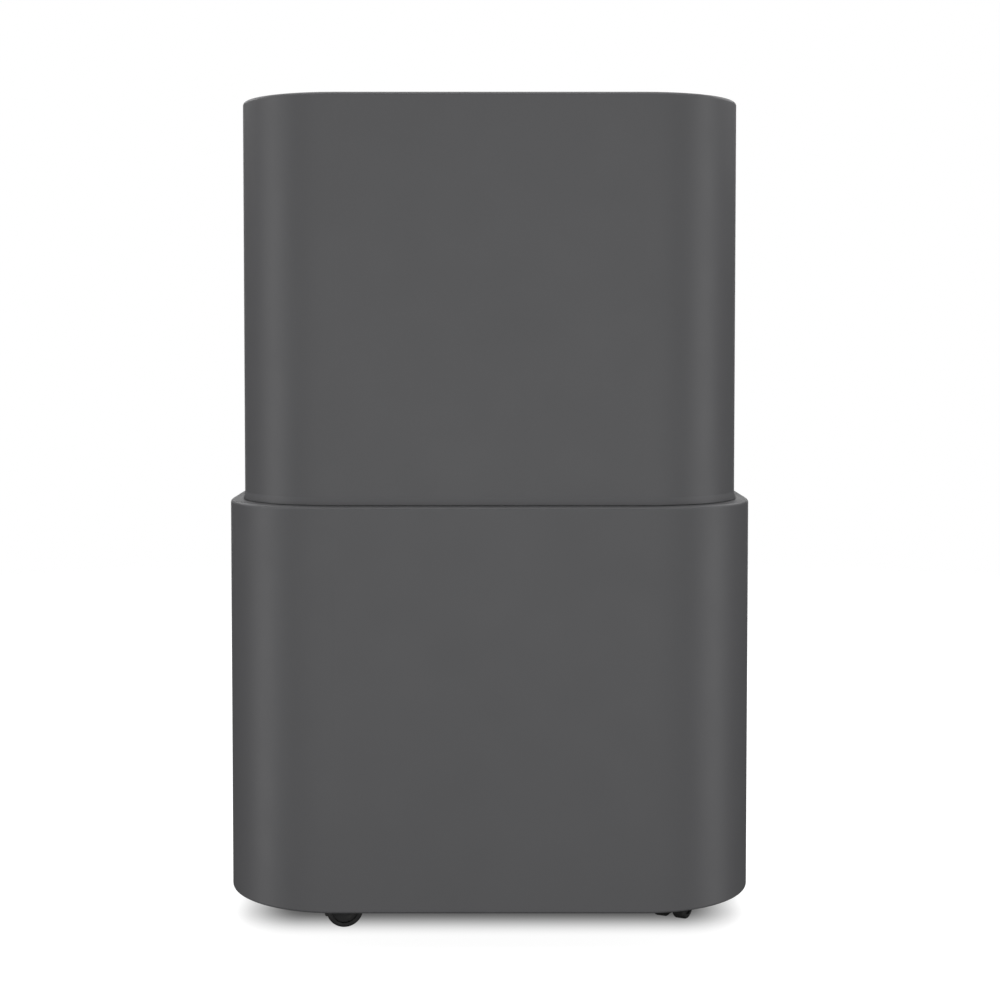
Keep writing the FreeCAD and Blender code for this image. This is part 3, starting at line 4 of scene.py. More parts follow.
import bmesh
import bpy
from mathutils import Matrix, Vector


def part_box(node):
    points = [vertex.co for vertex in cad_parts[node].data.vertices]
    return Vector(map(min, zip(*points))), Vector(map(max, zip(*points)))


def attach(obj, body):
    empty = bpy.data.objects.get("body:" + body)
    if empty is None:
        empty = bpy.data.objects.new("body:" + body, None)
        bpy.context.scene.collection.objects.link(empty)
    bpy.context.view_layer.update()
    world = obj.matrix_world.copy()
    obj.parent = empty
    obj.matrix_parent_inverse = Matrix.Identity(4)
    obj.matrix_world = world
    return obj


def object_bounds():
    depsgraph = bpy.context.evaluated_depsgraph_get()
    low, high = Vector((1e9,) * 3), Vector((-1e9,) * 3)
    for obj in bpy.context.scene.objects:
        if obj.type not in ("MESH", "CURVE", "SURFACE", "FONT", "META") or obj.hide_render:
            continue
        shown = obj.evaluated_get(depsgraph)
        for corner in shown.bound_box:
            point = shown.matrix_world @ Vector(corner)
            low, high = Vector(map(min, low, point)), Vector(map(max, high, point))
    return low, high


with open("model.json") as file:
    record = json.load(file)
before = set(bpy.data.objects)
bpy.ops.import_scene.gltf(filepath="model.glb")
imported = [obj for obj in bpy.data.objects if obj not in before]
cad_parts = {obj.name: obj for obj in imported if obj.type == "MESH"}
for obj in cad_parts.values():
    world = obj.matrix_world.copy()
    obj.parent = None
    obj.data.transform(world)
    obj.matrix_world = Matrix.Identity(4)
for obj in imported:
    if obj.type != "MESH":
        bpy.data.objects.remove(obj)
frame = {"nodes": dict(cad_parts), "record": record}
CAD_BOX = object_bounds()
NODES = frame["nodes"]
MM = 0.001
WAVE_SPACING = math.pi / 10     # distance between a wave texture's stripes at a scale of 1
BEVEL_SAMPLES = 4
EDGE_DOT = (0.985, 0.80)        # real normal against rounded one: where an edge mask starts, and is full


# ---------------------------------------------------------------- materials
class Finish:
    """One procedural material. Its patterns are laid out in metres in the part's own frame."""

    def __init__(self, name, colour, roughness, metallic=0.0, specular=0.5):
        self.material = bpy.data.materials.new(name)
        self.material.use_nodes = True
        self.tree = self.material.node_tree
        self.tree.nodes.clear()
        output = self.node("OutputMaterial")
        self.bsdf = self.node("BsdfPrincipled")
        self.link(self.bsdf.outputs[0], output.inputs[0])
        self.bsdf.inputs["Metallic"].default_value = metallic
        self.bsdf.inputs["Specular IOR Level"].default_value = specular
        self.place = self.node("TexCoord").outputs["Object"]
        self.colour = self.rgb(colour)
        self.roughness = roughness
        self.normal = None

    def node(self, kind, **settings):
        made = self.tree.nodes.new("ShaderNode" + kind)
        for key, value in settings.items():
            setattr(made, key, value)
        return made

    def link(self, source, target):
        self.tree.links.new(source, target)

    @staticmethod
    def rgb(colour):
        return (*colour, 1.0)

    def put(self, value, socket):
        """Links a socket, or sets a plain value."""
        if isinstance(value, bpy.types.NodeSocket):
            self.link(value, socket)
        else:
            socket.default_value = value

    def stretched(self, scale):
        """The part's coordinates, stretched by a factor along each axis."""
        mapping = self.node("Mapping")
        self.link(self.place, mapping.inputs["Vector"])
        mapping.inputs["Scale"].default_value = scale
        return mapping.outputs[0]

    def noise(self, size, detail=2.0, stretch=None, roughness=0.5):
        """Cloudy noise from 0 to 1 whose blotches are about this many metres across."""
        made = self.node("TexNoise")
        self.link(self.stretched(stretch) if stretch else self.place, made.inputs["Vector"])
        made.inputs["Scale"].default_value = 1.0 / size
        made.inputs["Detail"].default_value = detail
        made.inputs["Roughness"].default_value = roughness
        return made.outputs["Fac"]

    def cells(self, size):
        """Distance from the middle of irregular cells that are about this many metres across."""
        made = self.node("TexVoronoi")
        self.link(self.place, made.inputs["Vector"])
        made.inputs["Scale"].default_value = 1.0 / size
        return made.outputs["Distance"]

    def waves(self, size, direction, distortion=0.0):
        """Stripes across one axis, this many metres apart."""
        made = self.node("TexWave", wave_type="BANDS", bands_direction=direction)
        self.link(self.place, made.inputs["Vector"])
        made.inputs["Scale"].default_value = WAVE_SPACING / size
        made.inputs["Distortion"].default_value = distortion
        made.inputs["Detail"].default_value = 1.0
        return made.outputs["Fac"]

    def math(self, operation, a, b):
        """Arithmetic on two values or sockets, held between 0 and 1."""
        made = self.node("Math", operation=operation, use_clamp=True)
        self.put(a, made.inputs[0])
        self.put(b, made.inputs[1])
        return made.outputs[0]

    def span(self, value, low, high, to_low=0.0, to_high=1.0):
        """Maps low..high of a value to another range, held at both ends."""
        made = self.node("MapRange", clamp=True)
        self.link(value, made.inputs["Value"])
        for end, number in (("From Min", low), ("From Max", high), ("To Min", to_low), ("To Max", to_high)):
            made.inputs[end].default_value = number
        return made.outputs[0]

    def mix(self, factor, a, b, blend="MIX"):
        """Blends two colours. The node has sockets for other kinds of value before its colour ones."""
        made = self.node("Mix", data_type="RGBA", blend_type=blend)
        colour_a, colour_b, colour_result = made.inputs[6], made.inputs[7], made.outputs[2]
        self.put(factor, made.inputs["Factor"])
        self.put(a, colour_a)
        self.put(b, colour_b)
        return colour_result

    def tint(self, mask, colour):
        """Paints a colour over the base where the mask is 1."""
        self.colour = self.mix(mask, self.colour, self.rgb(colour))

    def vary(self, mask, amount):
        """Lightens and darkens the base colour by this share as the mask goes from 1 to 0."""
        level = self.span(mask, 0.25, 0.75, 1.0 - amount, 1.0 + amount)
        shade = self.node("CombineColor")
        for i in range(3):
            self.link(level, shade.inputs[i])
        self.colour = self.mix(1.0, self.colour, shade.outputs[0], "MULTIPLY")

    def rounded(self, radius):
        """The normal that the surface would have if its edges were rounded."""
        bevel = self.node("Bevel", samples=BEVEL_SAMPLES)
        bevel.inputs["Radius"].default_value = radius
        return bevel.outputs[0]

    def edges(self, radius):
        """Mask that is 1 along sharp edges, from the angle between the real and the rounded normal."""
        rounded, geometry = self.rounded(radius), self.node("NewGeometry")
        dot = self.node("VectorMath", operation="DOT_PRODUCT")
        self.link(rounded, dot.inputs[0])
        self.link(geometry.outputs["Normal"], dot.inputs[1])
        return self.span(dot.outputs["Value"], *EDGE_DOT)

    def soften(self, radius):
        """Rounds the shading of sharp edges."""
        self.normal = self.rounded(radius)

    def bump(self, height, depth, strength=1.0):
        """Raises the surface by the height pattern, this many metres deep."""
        made = self.node("Bump")
        made.inputs["Strength"].default_value = strength
        made.inputs["Distance"].default_value = depth
        self.link(height, made.inputs["Height"])
        if self.normal is not None:
            self.link(self.normal, made.inputs["Normal"])
        self.normal = made.outputs[0]

    def done(self):
        """Links the finished colour, roughness and normal to the shader."""
        self.put(self.colour, self.bsdf.inputs["Base Color"])
        self.put(self.roughness, self.bsdf.inputs["Roughness"])
        if self.normal is not None:
            self.link(self.normal, self.bsdf.inputs["Normal"])
        return self.material


def moulded(name, colour, rough, grain, depth, wear=0.25, variation=0.03, specular=0.5):
    """Moulded plastic: spark-eroded grain, faint flow clouds, and edges rubbed lighter and smoother."""
    edge = 0.6 * MM
    made = Finish(name, colour, rough, specular=specular)
    made.soften(edge)
    clouds = made.noise(0.09, detail=3.0, stretch=(1.0, 1.0, 0.6))
    made.vary(clouds, variation)
    speckle = made.noise(grain, detail=1.0)
    made.vary(speckle, variation * 1.2)
    rubbed = made.math("MULTIPLY", made.edges(edge * 2.0), made.span(made.noise(0.012), 0.35, 0.65))
    worn = made.math("MULTIPLY", rubbed, wear)
    made.tint(worn, [min(1.0, level * 1.9 + 0.03) for level in colour])
    scuffs = made.span(made.noise(0.03, detail=4.0), 0.3, 0.7, rough - 0.02, rough + 0.03)
    made.roughness = made.math("SUBTRACT", scuffs, made.math("MULTIPLY", rubbed, 0.12))
    made.bump(speckle, depth, 0.6)
    return made.done()


def glossy(name, colour, rough=0.12, smears=0.06, specular=0.5):
    """Polished plastic with orange peel, finger smears and fine dust."""
    made = Finish(name, colour, rough, specular=specular)
    made.soften(0.5 * MM)
    made.vary(made.noise(0.05), 0.03)
    dust = made.span(made.cells(1.6 * MM), 0.10, 0.05)
    made.tint(made.math("MULTIPLY", dust, 0.10), (0.35, 0.35, 0.35))
    made.roughness = made.span(made.noise(0.02, detail=4.0), 0.35, 0.7, rough, rough + smears)
    made.bump(made.noise(0.004), 0.02 * MM, 0.25)
    return made.done()


def metal(name, colour, rough, stretch, stain=(0.30, 0.28, 0.26), stains=0.25):
    """Drawn or rolled metal: fine lines along one axis and dull stains."""
    made = Finish(name, colour, rough, metallic=1.0)
    made.soften(0.3 * MM)
    lines = made.noise(0.8 * MM, stretch=stretch)
    made.vary(lines, 0.10)
    dull = made.span(made.noise(0.015, detail=4.0), 0.48, 0.72)
    made.tint(made.math("MULTIPLY", dull, stains), stain)
    made.roughness = made.span(made.noise(0.01, detail=3.0), 0.3, 0.7, rough - 0.06, rough + 0.14)
    made.bump(lines, 0.03 * MM, 0.4)
    return made.done()


def painted(name, colour, rough):
    """Paint on steel with orange peel, and bare metal where edges are chipped."""
    bare = (0.45, 0.44, 0.43)
    made = Finish(name, colour, rough)
    made.soften(0.5 * MM)
    made.vary(made.noise(0.04, detail=3.0), 0.06)
    flakes = made.span(made.noise(0.003, detail=3.0), 0.56, 0.60)
    made.tint(made.math("MULTIPLY", made.edges(0.9 * MM), flakes), bare)
    made.roughness = made.span(made.noise(0.02, detail=4.0), 0.3, 0.7, rough - 0.04, rough + 0.10)
    made.bump(made.noise(0.003), 0.05 * MM, 0.35)
    return made.done()


def rubber(name, colour, rough=0.78):
    """Rubber with a fine matt grain and a pale bloom."""
    made = Finish(name, colour, rough, specular=0.35)
    made.soften(0.5 * MM)
    made.vary(made.noise(0.02, detail=4.0), 0.12)
    bloom = made.span(made.noise(0.008, detail=4.0), 0.55, 0.75)
    made.tint(made.math("MULTIPLY", bloom, 0.18), (0.12, 0.115, 0.11))
    made.roughness = made.span(made.noise(0.006, detail=3.0), 0.3, 0.7, rough - 0.08, rough + 0.08)
    made.bump(made.noise(0.7 * MM, detail=1.0), 0.06 * MM, 0.5)
    return made.done()


def clear_plastic(name, colour):
    """Clear tank plastic, a little hazy, with scratches and dried water marks."""
    made = Finish(name, colour, 0.08)
    made.soften(0.6 * MM)
    made.vary(made.noise(0.05, detail=3.0), 0.04)
    runs = made.noise(0.012, detail=5.0, stretch=(1.0, 1.0, 0.4))
    made.roughness = made.span(runs, 0.5, 0.8, 0.06, 0.32)
    scratches = made.noise(1.2 * MM, stretch=(1.0, 1.0, 0.15))
    made.bump(scratches, 0.02 * MM, 0.3)
    made.bsdf.inputs["Transmission Weight"].default_value = 0.82
    made.bsdf.inputs["IOR"].default_value = 1.49
    return made.done()


def woven_net(name, colour):
    """Filter net: two crossing sets of threads with grey fluff caught in them."""
    made = Finish(name, colour, 0.7, specular=0.3)
    pitch = 1.6 * MM
    threads = made.math("MAXIMUM", made.waves(pitch, "X"), made.waves(pitch, "Z"))
    made.vary(threads, 0.45)
    fluff = made.span(made.noise(0.02, detail=6.0, roughness=0.7), 0.52, 0.8)
    made.tint(made.math("MULTIPLY", fluff, 0.4), (0.32, 0.31, 0.30))
    made.roughness = made.span(fluff, 0.0, 1.0, 0.6, 0.95)
    made.bump(threads, 0.4 * MM, 0.9)
    return made.done()


def circuit_board(name, colour):
    """Solder mask with copper tracks showing through, and dusty parts."""
    made = Finish(name, colour, 0.35)
    made.soften(0.3 * MM)
    tracks = made.math("MAXIMUM", made.span(made.waves(3.1 * MM, "X", 1.4), 0.7, 0.85),
                       made.span(made.waves(4.3 * MM, "Y", 1.4), 0.75, 0.9))
    made.tint(made.math("MULTIPLY", tracks, 0.5), (0.09, 0.30, 0.14))
    made.vary(made.noise(0.01, detail=3.0), 0.12)
    made.roughness = made.span(made.noise(0.004, detail=3.0), 0.3, 0.7, 0.25, 0.5)
    made.bump(tracks, 0.04 * MM, 0.6)
    return made.done()


def foam(name, colour):
    """Closed-cell foam: small pits and a dirty tide line."""
    made = Finish(name, colour, 0.85, specular=0.25)
    made.soften(0.8 * MM)
    pits = made.cells(1.3 * MM)
    made.vary(pits, 0.10)
    dirt = made.span(made.noise(0.01, detail=4.0), 0.5, 0.75)
    made.tint(made.math("MULTIPLY", dirt, 0.25), (0.55, 0.52, 0.45))
    made.bump(pits, 0.2 * MM, 0.6)
    return made.done()


FINISHES = {
    "shell_dark": moulded("shell_dark", (0.088, 0.088, 0.0915), 0.46, grain=0.7 * MM, depth=0.04 * MM,
                          wear=0.22, variation=0.018, specular=0.32),
    "deck_dark": moulded("deck_dark", (0.066, 0.066, 0.070), 0.48, grain=0.8 * MM, depth=0.05 * MM),
    "panel_gloss": glossy("panel_gloss", (0.008, 0.008, 0.009), specular=0.2),
    "button_dark": glossy("button_dark", (0.028, 0.028, 0.031), rough=0.28, smears=0.14),
    "lens_smoke": glossy("lens_smoke", (0.006, 0.007, 0.009), rough=0.05, smears=0.06, specular=0.2),
    "grille_dark": moulded("grille_dark", (0.045, 0.045, 0.048), 0.55, grain=0.9 * MM, depth=0.06 * MM),
    "filter_net": woven_net("filter_net", (0.13, 0.14, 0.15)),
    "tank_clear": clear_plastic("tank_clear", (0.80, 0.86, 0.88)),
    "tank_lid": moulded("tank_lid", (0.28, 0.29, 0.30), 0.42, grain=0.8 * MM, depth=0.05 * MM),
    "bail_grey": moulded("bail_grey", (0.11, 0.11, 0.115), 0.45, grain=0.9 * MM, depth=0.06 * MM),
    "float_white": foam("float_white", (0.80, 0.80, 0.77)),
    "magnet": metal("magnet", (0.20, 0.20, 0.21), 0.45, (1.0, 1.0, 1.0)),
    "steel_zinc": metal("steel_zinc", (0.62, 0.62, 0.63), 0.34, (1.0, 0.3, 1.0)),
    "inner_abs": moulded("inner_abs", (0.095, 0.095, 0.10), 0.58, grain=1.0 * MM, depth=0.07 * MM),
    "base_black": moulded("base_black", (0.030, 0.030, 0.032), 0.60, grain=1.0 * MM, depth=0.07 * MM),
    "coil_aluminium": metal("coil_aluminium", (0.80, 0.81, 0.82), 0.36, (1.0, 1.0, 0.1), stains=0.15),
    "copper": metal("copper", (0.86, 0.45, 0.28), 0.30, (0.2, 1.0, 1.0), stain=(0.25, 0.12, 0.07),
                    stains=0.5),
    "compressor_black": painted("compressor_black", (0.014, 0.014, 0.016), 0.22),
    "rubber_black": rubber("rubber_black", (0.022, 0.022, 0.022)),
    "board_green": circuit_board("board_green", (0.030, 0.17, 0.075)),
    "capacitor_can": metal("capacitor_can", (0.74, 0.75, 0.76), 0.30, (1.0, 1.0, 0.2)),
    "fan_plastic": moulded("fan_plastic", (0.60, 0.61, 0.60), 0.50, grain=1.0 * MM, depth=0.06 * MM),
    "fan_steel": metal("fan_steel", (0.60, 0.60, 0.61), 0.20, (1.0, 0.1, 1.0)),
    "motor_steel": painted("motor_steel", (0.46, 0.47, 0.48), 0.38),
    "caster_black": moulded("caster_black", (0.012, 0.012, 0.012), 0.45, grain=0.8 * MM, depth=0.06 * MM),
    "wheel_black": rubber("wheel_black", (0.010, 0.010, 0.010), 0.65),
    "tray_white": moulded("tray_white", (0.68, 0.68, 0.66), 0.45, grain=0.9 * MM, depth=0.05 * MM),
}
SLOT_OF = {part["node"]: part["material_slot"] for part in frame["record"]["subparts"]}
for name, node in NODES.items():
    node.data.materials.clear()
    node.data.materials.append(FINISHES[SLOT_OF[name]])


# ---------------------------------------------------------------- pieces
def add_piece(name, build, material, body):
    """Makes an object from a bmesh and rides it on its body."""
    bmesh.ops.recalc_face_normals(build, faces=build.faces)
    mesh = bpy.data.meshes.new(name)
    build.to_mesh(mesh)
    build.free()
    mesh.materials.append(material)
    piece = bpy.data.objects.new(name, mesh)
    bpy.context.scene.collection.objects.link(piece)
    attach(piece, body)


def add_slab(build, outline, base, depth, place):
    """Closed prism on a plan outline. place turns (u, v, height) into a point."""
    low = [build.verts.new(place(u, v, base)) for u, v in outline]
    high = [build.verts.new(place(u, v, base + depth)) for u, v in outline]
    build.faces.new(low)
    build.faces.new(high)
    for i in range(len(outline)):
        j = (i + 1) % len(outline)
        build.faces.new((low[i], low[j], high[j], high[i]))


def add_ribbon(build, points, width, base, depth, place, closed=False):
    """Closed solid along a line of points: a printed or moulded line of one width."""
    count = len(points)
    rings = []
    for i, point in enumerate(points):
        before = points[(i - 1) % count] if closed or i else point
        after = points[(i + 1) % count] if closed or i < count - 1 else point
        along = (Vector(after) - Vector(before)).normalized()
        side = Vector((-along.y, along.x)) * width / 2
        left, right, top = Vector(point) + side, Vector(point) - side, base + depth
        section = ((left, base), (right, base), (right, top), (left, top))
        rings.append([build.verts.new(place(*corner, z)) for corner, z in section])
    spans = count if closed else count - 1
    for i in range(spans):
        a, b = rings[i], rings[(i + 1) % count]
        for k in range(4):
            m = (k + 1) % 4
            build.faces.new((a[k], a[m], b[m], b[k]))
    if not closed:
        build.faces.new(rings[0])
        build.faces.new(rings[-1])


def arc(radius, start, end, steps=28, centre=(0.0, 0.0)):
    """Points on an arc, angles in degrees."""
    turns = [math.radians(start + (end - start) * i / steps) for i in range(steps + 1)]
    return [(centre[0] + radius * math.cos(t), centre[1] + radius * math.sin(t)) for t in turns]


def drop(height):
    """Outline of a water drop, point up."""
    steps, outline = 32, []
    for i in range(steps):
        t = 2 * math.pi * i / steps
        outline.append((0.36 * height * math.sin(t) * math.sin(t / 2), 0.5 * height * math.cos(t)))
    return outline


def petal(length, width, turn):
    """Outline of a fan blade that leans round the hub."""
    steps, outline = 16, []
    for i in range(steps):
        t = 2 * math.pi * i / steps
        along, across = length * (0.58 - 0.42 * math.cos(t)), width * math.sin(t)
        angle = turn + 0.5 * along / length
        outline.append((along * math.cos(angle) - across * math.sin(angle),
                        along * math.sin(angle) + across * math.cos(angle)))
    return outline


def flat_at(x, y):
    """Places plan points round a point, with heights upwards."""
    def place(u, v, z):
        return (x + u, y + v, z)
    return place


def middle_of(node):
    """Plan centre of a node's box, and its top."""
    low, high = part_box(node)
    return (low.x + high.x) / 2, (low.y + high.y) / 2, high.z


def add_button_marks():
    """A printed symbol on each cap and an indicator window behind it."""
    size, line, ink, sunk = 2.7 * MM, 0.55 * MM, 0.05 * MM, 0.01 * MM
    ring = arc(size, 0, 360)[:-1]
    stroke = [(0, 0.3 * size), (0, 1.25 * size)]
    hands = [(0, 0.7 * size), (0, 0), (0.5 * size, -0.3 * size)]
    blades = [petal(1.25 * size, 0.34 * size, math.radians(turn)) for turn in (90, 210, 330)]
    wing, shoulder = 0.7 * size, 0.3 * size
    arrows = [[(-wing, s * shoulder), (0, s * size), (wing, s * shoulder)] for s in (-1, 1)]
    lines = {
        "power_button": [(arc(size, 125, 415), False), (stroke, False)],
        "mode_button": [(drop(2.5 * size), True)],
        "fan_speed_button": [(blade, True) for blade in blades],
        "timer_button": [(ring, True), (hands, False)],
        "humidity_button": [(arrow, False) for arrow in arrows],
    }
    for button, symbol in lines.items():
        x, y, top = middle_of(button)
        build = bmesh.new()
        for points, closed in symbol:
            add_ribbon(build, points, line, top - sunk, ink, flat_at(x, y), closed)
        add_piece(f"symbol_{button}", build, MARKS, f"{button}_cap")
    window, behind = arc(0.75 * MM, 0, 360, 20)[:-1], 12.0 * MM
    panel_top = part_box("control_panel")[1].z
    build = bmesh.new()
    for button in lines:
        x, y, _ = middle_of(button)
        add_slab(build, window, panel_top - 0.02 * MM, 0.08 * MM, flat_at(x, y + behind))
    add_piece("indicator_windows", build, INDICATOR, "cabinet")


def add_digits():
    """Two seven-segment digits and a column of small dots in the lens's face."""
    x, y, top = middle_of("display_lens")
    base, depth = top - 0.01 * MM, 0.04 * MM
    tall, wide, bar, gap, apart = 6.4 * MM, 6.2 * MM, 1.15 * MM, 0.35 * MM, 6.0 * MM
    lit, dim = bmesh.new(), bmesh.new()
    for number, centre in (("5", x - apart), ("0", x + apart)):
        segments = {
            "a": (0, tall, True), "g": (0, 0, True), "d": (0, -tall, True),
            "f": (-wide / 2, tall / 2, False), "b": (wide / 2, tall / 2, False),
            "e": (-wide / 2, -tall / 2, False), "c": (wide / 2, -tall / 2, False),
        }
        on = {"5": "afgcd", "0": "abcdef"}[number]
        for name, (u, v, level) in segments.items():
            half = (wide / 2 if level else tall / 2) - gap
            b = bar / 2
            shape = [(-half, 0), (-half + b, b), (half - b, b), (half, 0), (half - b, -b), (-half + b, -b)]
            shape = [(u + p, v + q) if level else (u + q, v + p) for p, q in shape]
            add_slab(lit if name in on else dim, shape, base, depth, flat_at(centre, y))
    dot, column, spacing = arc(0.6 * MM, 0, 360, 16)[:-1], 21.0 * MM, 4.4 * MM
    for i in range(4):
        add_slab(lit if i < 2 else dim, dot, base, depth, flat_at(x + column, y + (i - 1.5) * spacing))
    add_piece("display_digits_lit", lit, DIGITS, "cabinet")
    add_piece("display_digits_dim", dim, DIM, "cabinet")


def rounded_outline(half_x, half_y, corner):
    """Points round a rectangle with round corners, centred on the origin."""
    steps, points = 16, []
    for turn, (sx, sy) in enumerate(((1, 1), (-1, 1), (-1, -1), (1, -1))):
        centre = (sx * (half_x - corner), sy * (half_y - corner))
        points += arc(corner, 90.0 * turn, 90.0 * turn + 90.0, steps, centre)
    return points


def add_seal_strip():
    """Strip in the gap between the ledge and the upper housing, clear of the tank's sliding face."""
    upper_low, upper_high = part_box("front_shell")
    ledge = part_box("tank_face")[1].z
    inset, width, clear, thick, corner = 0.75 * MM, 1.0 * MM, 0.12 * MM, 0.26 * MM, 67.0 * MM
    half_x, half_y = upper_high.x - inset, -upper_low.y - inset
    build = bmesh.new()
    outline = rounded_outline(half_x, half_y, corner)
    add_ribbon(build, outline, width, ledge + clear, thick, flat_at(0, 0), closed=True)
    add_piece("seal_strip", build, FINISHES["shell_dark"], "cabinet")


def add_filter_threads():
    """Threads of the filter net, woven at a fine pitch over the framed sheet."""
    low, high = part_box("filter_mesh")
    edge, pitch, thread, sunk, proud, crossing = [size * MM for size in (4.0, 2.0, 0.42, 0.05, 0.16, 0.06)]
    build = bmesh.new()

    def on_net(u, v, height):
        return (u, high.y + height, v)

    left, right, bottom, top = low.x + edge, high.x - edge, low.z + edge, high.z - edge
    upright, level = int((right - left) / pitch), int((top - bottom) / pitch)
    for i in range(upright + 1):
        u = left + (right - left) * i / upright
        add_ribbon(build, [(u, bottom), (u, top)], thread, -sunk, proud, on_net)
    for i in range(level + 1):
        v = bottom + (top - bottom) * i / level
        add_ribbon(build, [(left, v), (right, v)], thread, -sunk, proud + crossing, on_net)
    add_piece("filter_threads", build, THREADS, "filter_cassette")


def add_level_marks():
    """Moulded level lines on both sides of the tank, longer every second one."""
    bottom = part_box("water_tank")[0].z
    side, y = 140.0 * MM, -50.0 * MM
    first, rise, width, sunk, depth = 22.0 * MM, 18.0 * MM, 0.9 * MM, 0.1 * MM, 0.35 * MM
    build = bmesh.new()
    for sign in (-1, 1):
        def on_wall(u, v, height, sign=sign):
            return (sign * (side + height), y + u, v)

        for i in range(7):
            z = bottom + first + rise * i
            half = (12.0 if i % 2 else 7.0) * MM
            add_ribbon(build, [(-half, z), (half, z)], width, -sunk, depth, on_wall)
    add_piece("tank_level_marks", build, MARKS, "tank")


MARKS = glossy("mark_white", (0.62, 0.63, 0.64), rough=0.35)
INDICATOR = glossy("indicator_green", (0.10, 0.32, 0.22), rough=0.15)
DIGITS = glossy("digits_lit", (0.70, 0.78, 0.82), rough=0.2)
DIM = glossy("digits_dim", (0.035, 0.038, 0.042), rough=0.2)
THREADS = woven_net("filter_threads", (0.42, 0.43, 0.44))
add_button_marks()
add_digits()
add_seal_strip()
add_filter_threads()
add_level_marks()


# ---------------------------------------------------------------- studio
def add_floor():
    """Pale round floor that fades out at its rim. Its glow is seen by the camera only, and is dim under the
    object and full past it, which paints the object's shadow on the floor.
    """
    radius, fade_from, fade_to = 2.2, 0.8, 2.0
    inset = Vector((0.048, 0.096, 0.0))
    # Glow strength by distance past the area under the object: dim close in and full farther out. This
    # paints the shadow.
    painted_shadow_range = (("From Min", 0.008), ("From Max", 0.062), ("To Min", 0.09), ("To Max", 0.95))
    mesh = bpy.data.meshes.new("floor")
    build = bmesh.new()
    bmesh.ops.create_circle(build, cap_ends=True, segments=96, radius=radius)
    build.to_mesh(mesh)
    build.free()
    floor = bpy.data.objects.new("floor", mesh)
    bpy.context.scene.collection.objects.link(floor)
    finish = Finish("floor_pale", (0.32, 0.32, 0.32), 0.9, specular=0.0)
    finish.vary(finish.noise(0.4), 0.01)
    length = finish.node("VectorMath", operation="LENGTH")
    finish.link(finish.place, length.inputs[0])
    fade = finish.span(length.outputs["Value"], fade_from, fade_to, 1.0, 0.0)
    finish.link(fade, finish.bsdf.inputs["Alpha"])
    # Half size of the area under the object where the glow is dimmest: the core of the painted shadow.
    dark = (CAD_BOX[1] - CAD_BOX[0]) / 2 - inset
    value = finish.place
    zero = (0, 0, 0)
    for operation, other in (("ABSOLUTE", zero), ("SUBTRACT", (dark.x, dark.y, 0)), ("MAXIMUM", zero)):
        step = finish.node("VectorMath", operation=operation)
        finish.link(value, step.inputs[0])
        step.inputs[1].default_value = other
        value = step.outputs[0]
    # Distance past that area. It sets how bright the floor glows, so the painted shadow fades out with it.
    past_painted_shadow = finish.node("VectorMath", operation="LENGTH")
    finish.link(value, past_painted_shadow.inputs[0])
    painted_shadow_glow = finish.node("MapRange", interpolation_type="SMOOTHSTEP")
    finish.link(past_painted_shadow.outputs["Value"], painted_shadow_glow.inputs["Value"])
    for end, number in painted_shadow_range:
        painted_shadow_glow.inputs[end].default_value = number
    finish.bsdf.inputs["Emission Color"].default_value = (1.0, 1.0, 1.0, 1.0)
    seen = finish.node("LightPath").outputs["Is Camera Ray"]
    finish.link(finish.math("MULTIPLY", painted_shadow_glow.outputs[0], seen), finish.bsdf.inputs["Emission Strength"])
    mesh.materials.append(finish.done())
    for rays in ("diffuse", "glossy", "transmission", "shadow"):
        setattr(floor, "visible_" + rays, False)


def add_light(name, at, towards, size, power):
    """Soft box: a rectangle that faces a point."""
    light = bpy.data.lights.new(name, "AREA")
    light.shape = "RECTANGLE"
    light.size, light.size_y = size
    light.energy = power
    holder = bpy.data.objects.new(name, light)
    bpy.context.scene.collection.objects.link(holder)
    holder.location = at
    holder.rotation_euler = (Vector(towards) - Vector(at)).to_track_quat("-Z", "Y").to_euler()


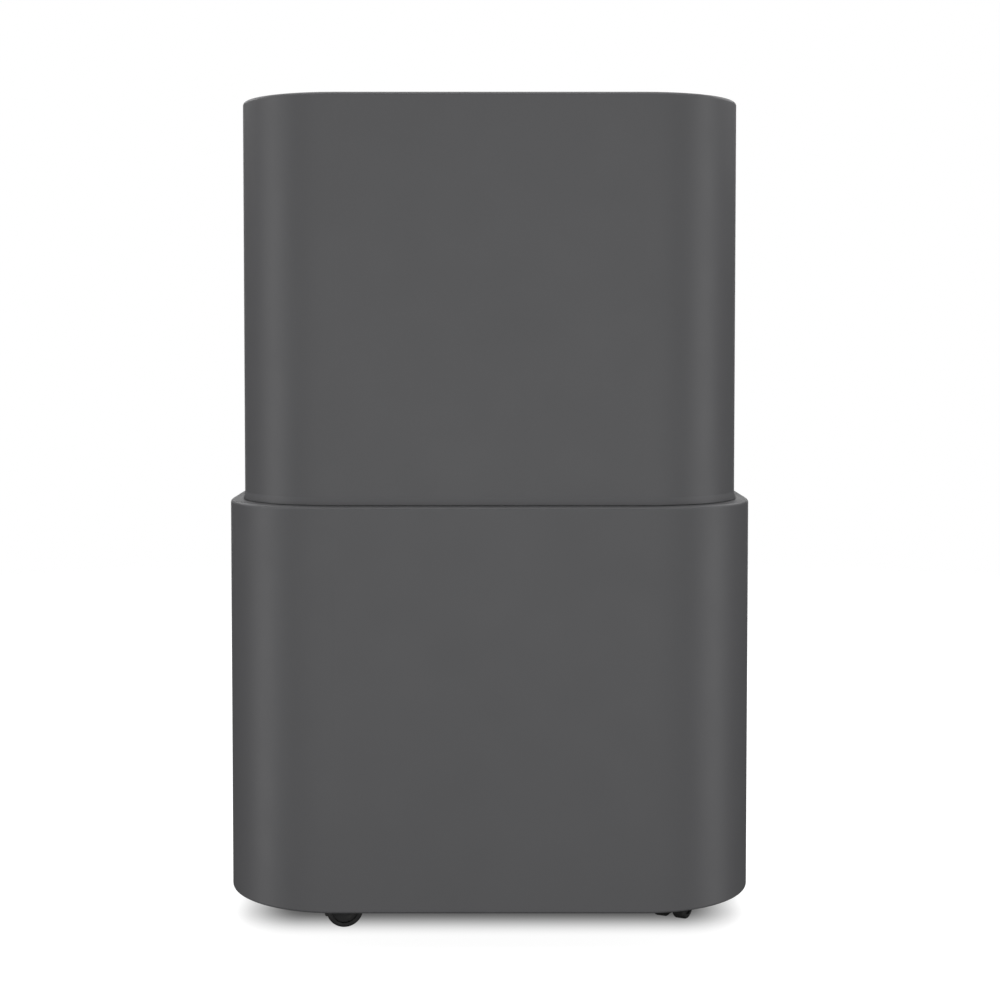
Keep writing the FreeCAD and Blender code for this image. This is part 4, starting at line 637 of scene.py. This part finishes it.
def set_world(seen, lighting):
    """White behind the object, with a dimmer even light from all round."""
    world = bpy.data.worlds.new("studio")
    bpy.context.scene.world = world
    world.use_nodes = True
    nodes, links = world.node_tree.nodes, world.node_tree.links
    nodes.clear()
    output = nodes.new("ShaderNodeOutputWorld")
    mix, path = nodes.new("ShaderNodeMixShader"), nodes.new("ShaderNodeLightPath")
    factor, unseen_by_camera, seen_by_camera = mix.inputs
    links.new(path.outputs["Is Camera Ray"], factor)
    for socket, strength in ((unseen_by_camera, lighting), (seen_by_camera, seen)):
        background = nodes.new("ShaderNodeBackground")
        background.inputs["Color"].default_value = (1.0, 1.0, 1.0, 1.0)
        background.inputs["Strength"].default_value = strength
        links.new(background.outputs[0], socket)
    links.new(mix.outputs[0], output.inputs[0])


def add_camera():
    """Camera in front at table height, looking slightly down. Its shift frames the whole object."""
    looks_down = 2.5
    camera = bpy.data.cameras.new("camera")
    camera.sensor_width = 36.0
    camera.lens = 66.81
    camera.shift_x, camera.shift_y = 0.0104, -0.08
    holder = bpy.data.objects.new("camera", camera)
    bpy.context.scene.collection.objects.link(holder)
    holder.location = (0.0, -1.3074, 0.3963)
    holder.rotation_euler = (math.radians(90.0 - looks_down), 0.0, 0.0)
    bpy.context.scene.camera = holder


def around(azimuth, distance, height):
    """Point at an angle in degrees from straight in front, towards the object's right."""
    a = math.radians(azimuth)
    return (distance * math.sin(a), -distance * math.cos(a), height)


middle = (CAD_BOX[0] + CAD_BOX[1]) / 2
add_floor()
set_world(seen=1.0, lighting=0.05)
add_light("key_front", around(0.0, 2.6, 0.22), middle, (4.2, 2.1), 50.0)
for side in (-1, 1):
    add_light(f"strip_side_{side:+d}", around(side * 78.0, 1.7, 0.33), middle, (0.7, 1.9), 11.5)
    add_light(f"strip_rear_{side:+d}", around(side * 130.0, 2.2, 1.6), middle, (1.2, 1.2), 14.0)
add_light("fill_rear", around(180.0, 2.6, 0.60), middle, (2.4, 1.5), 14.0)
add_light("top", (0.0, 0.0, 2.1), (0.0, 0.0, 0.0), (2.2, 2.2), 38.0)
add_camera()

scene = bpy.context.scene
scene.view_settings.view_transform = "Standard"
scene.view_settings.look = "None"
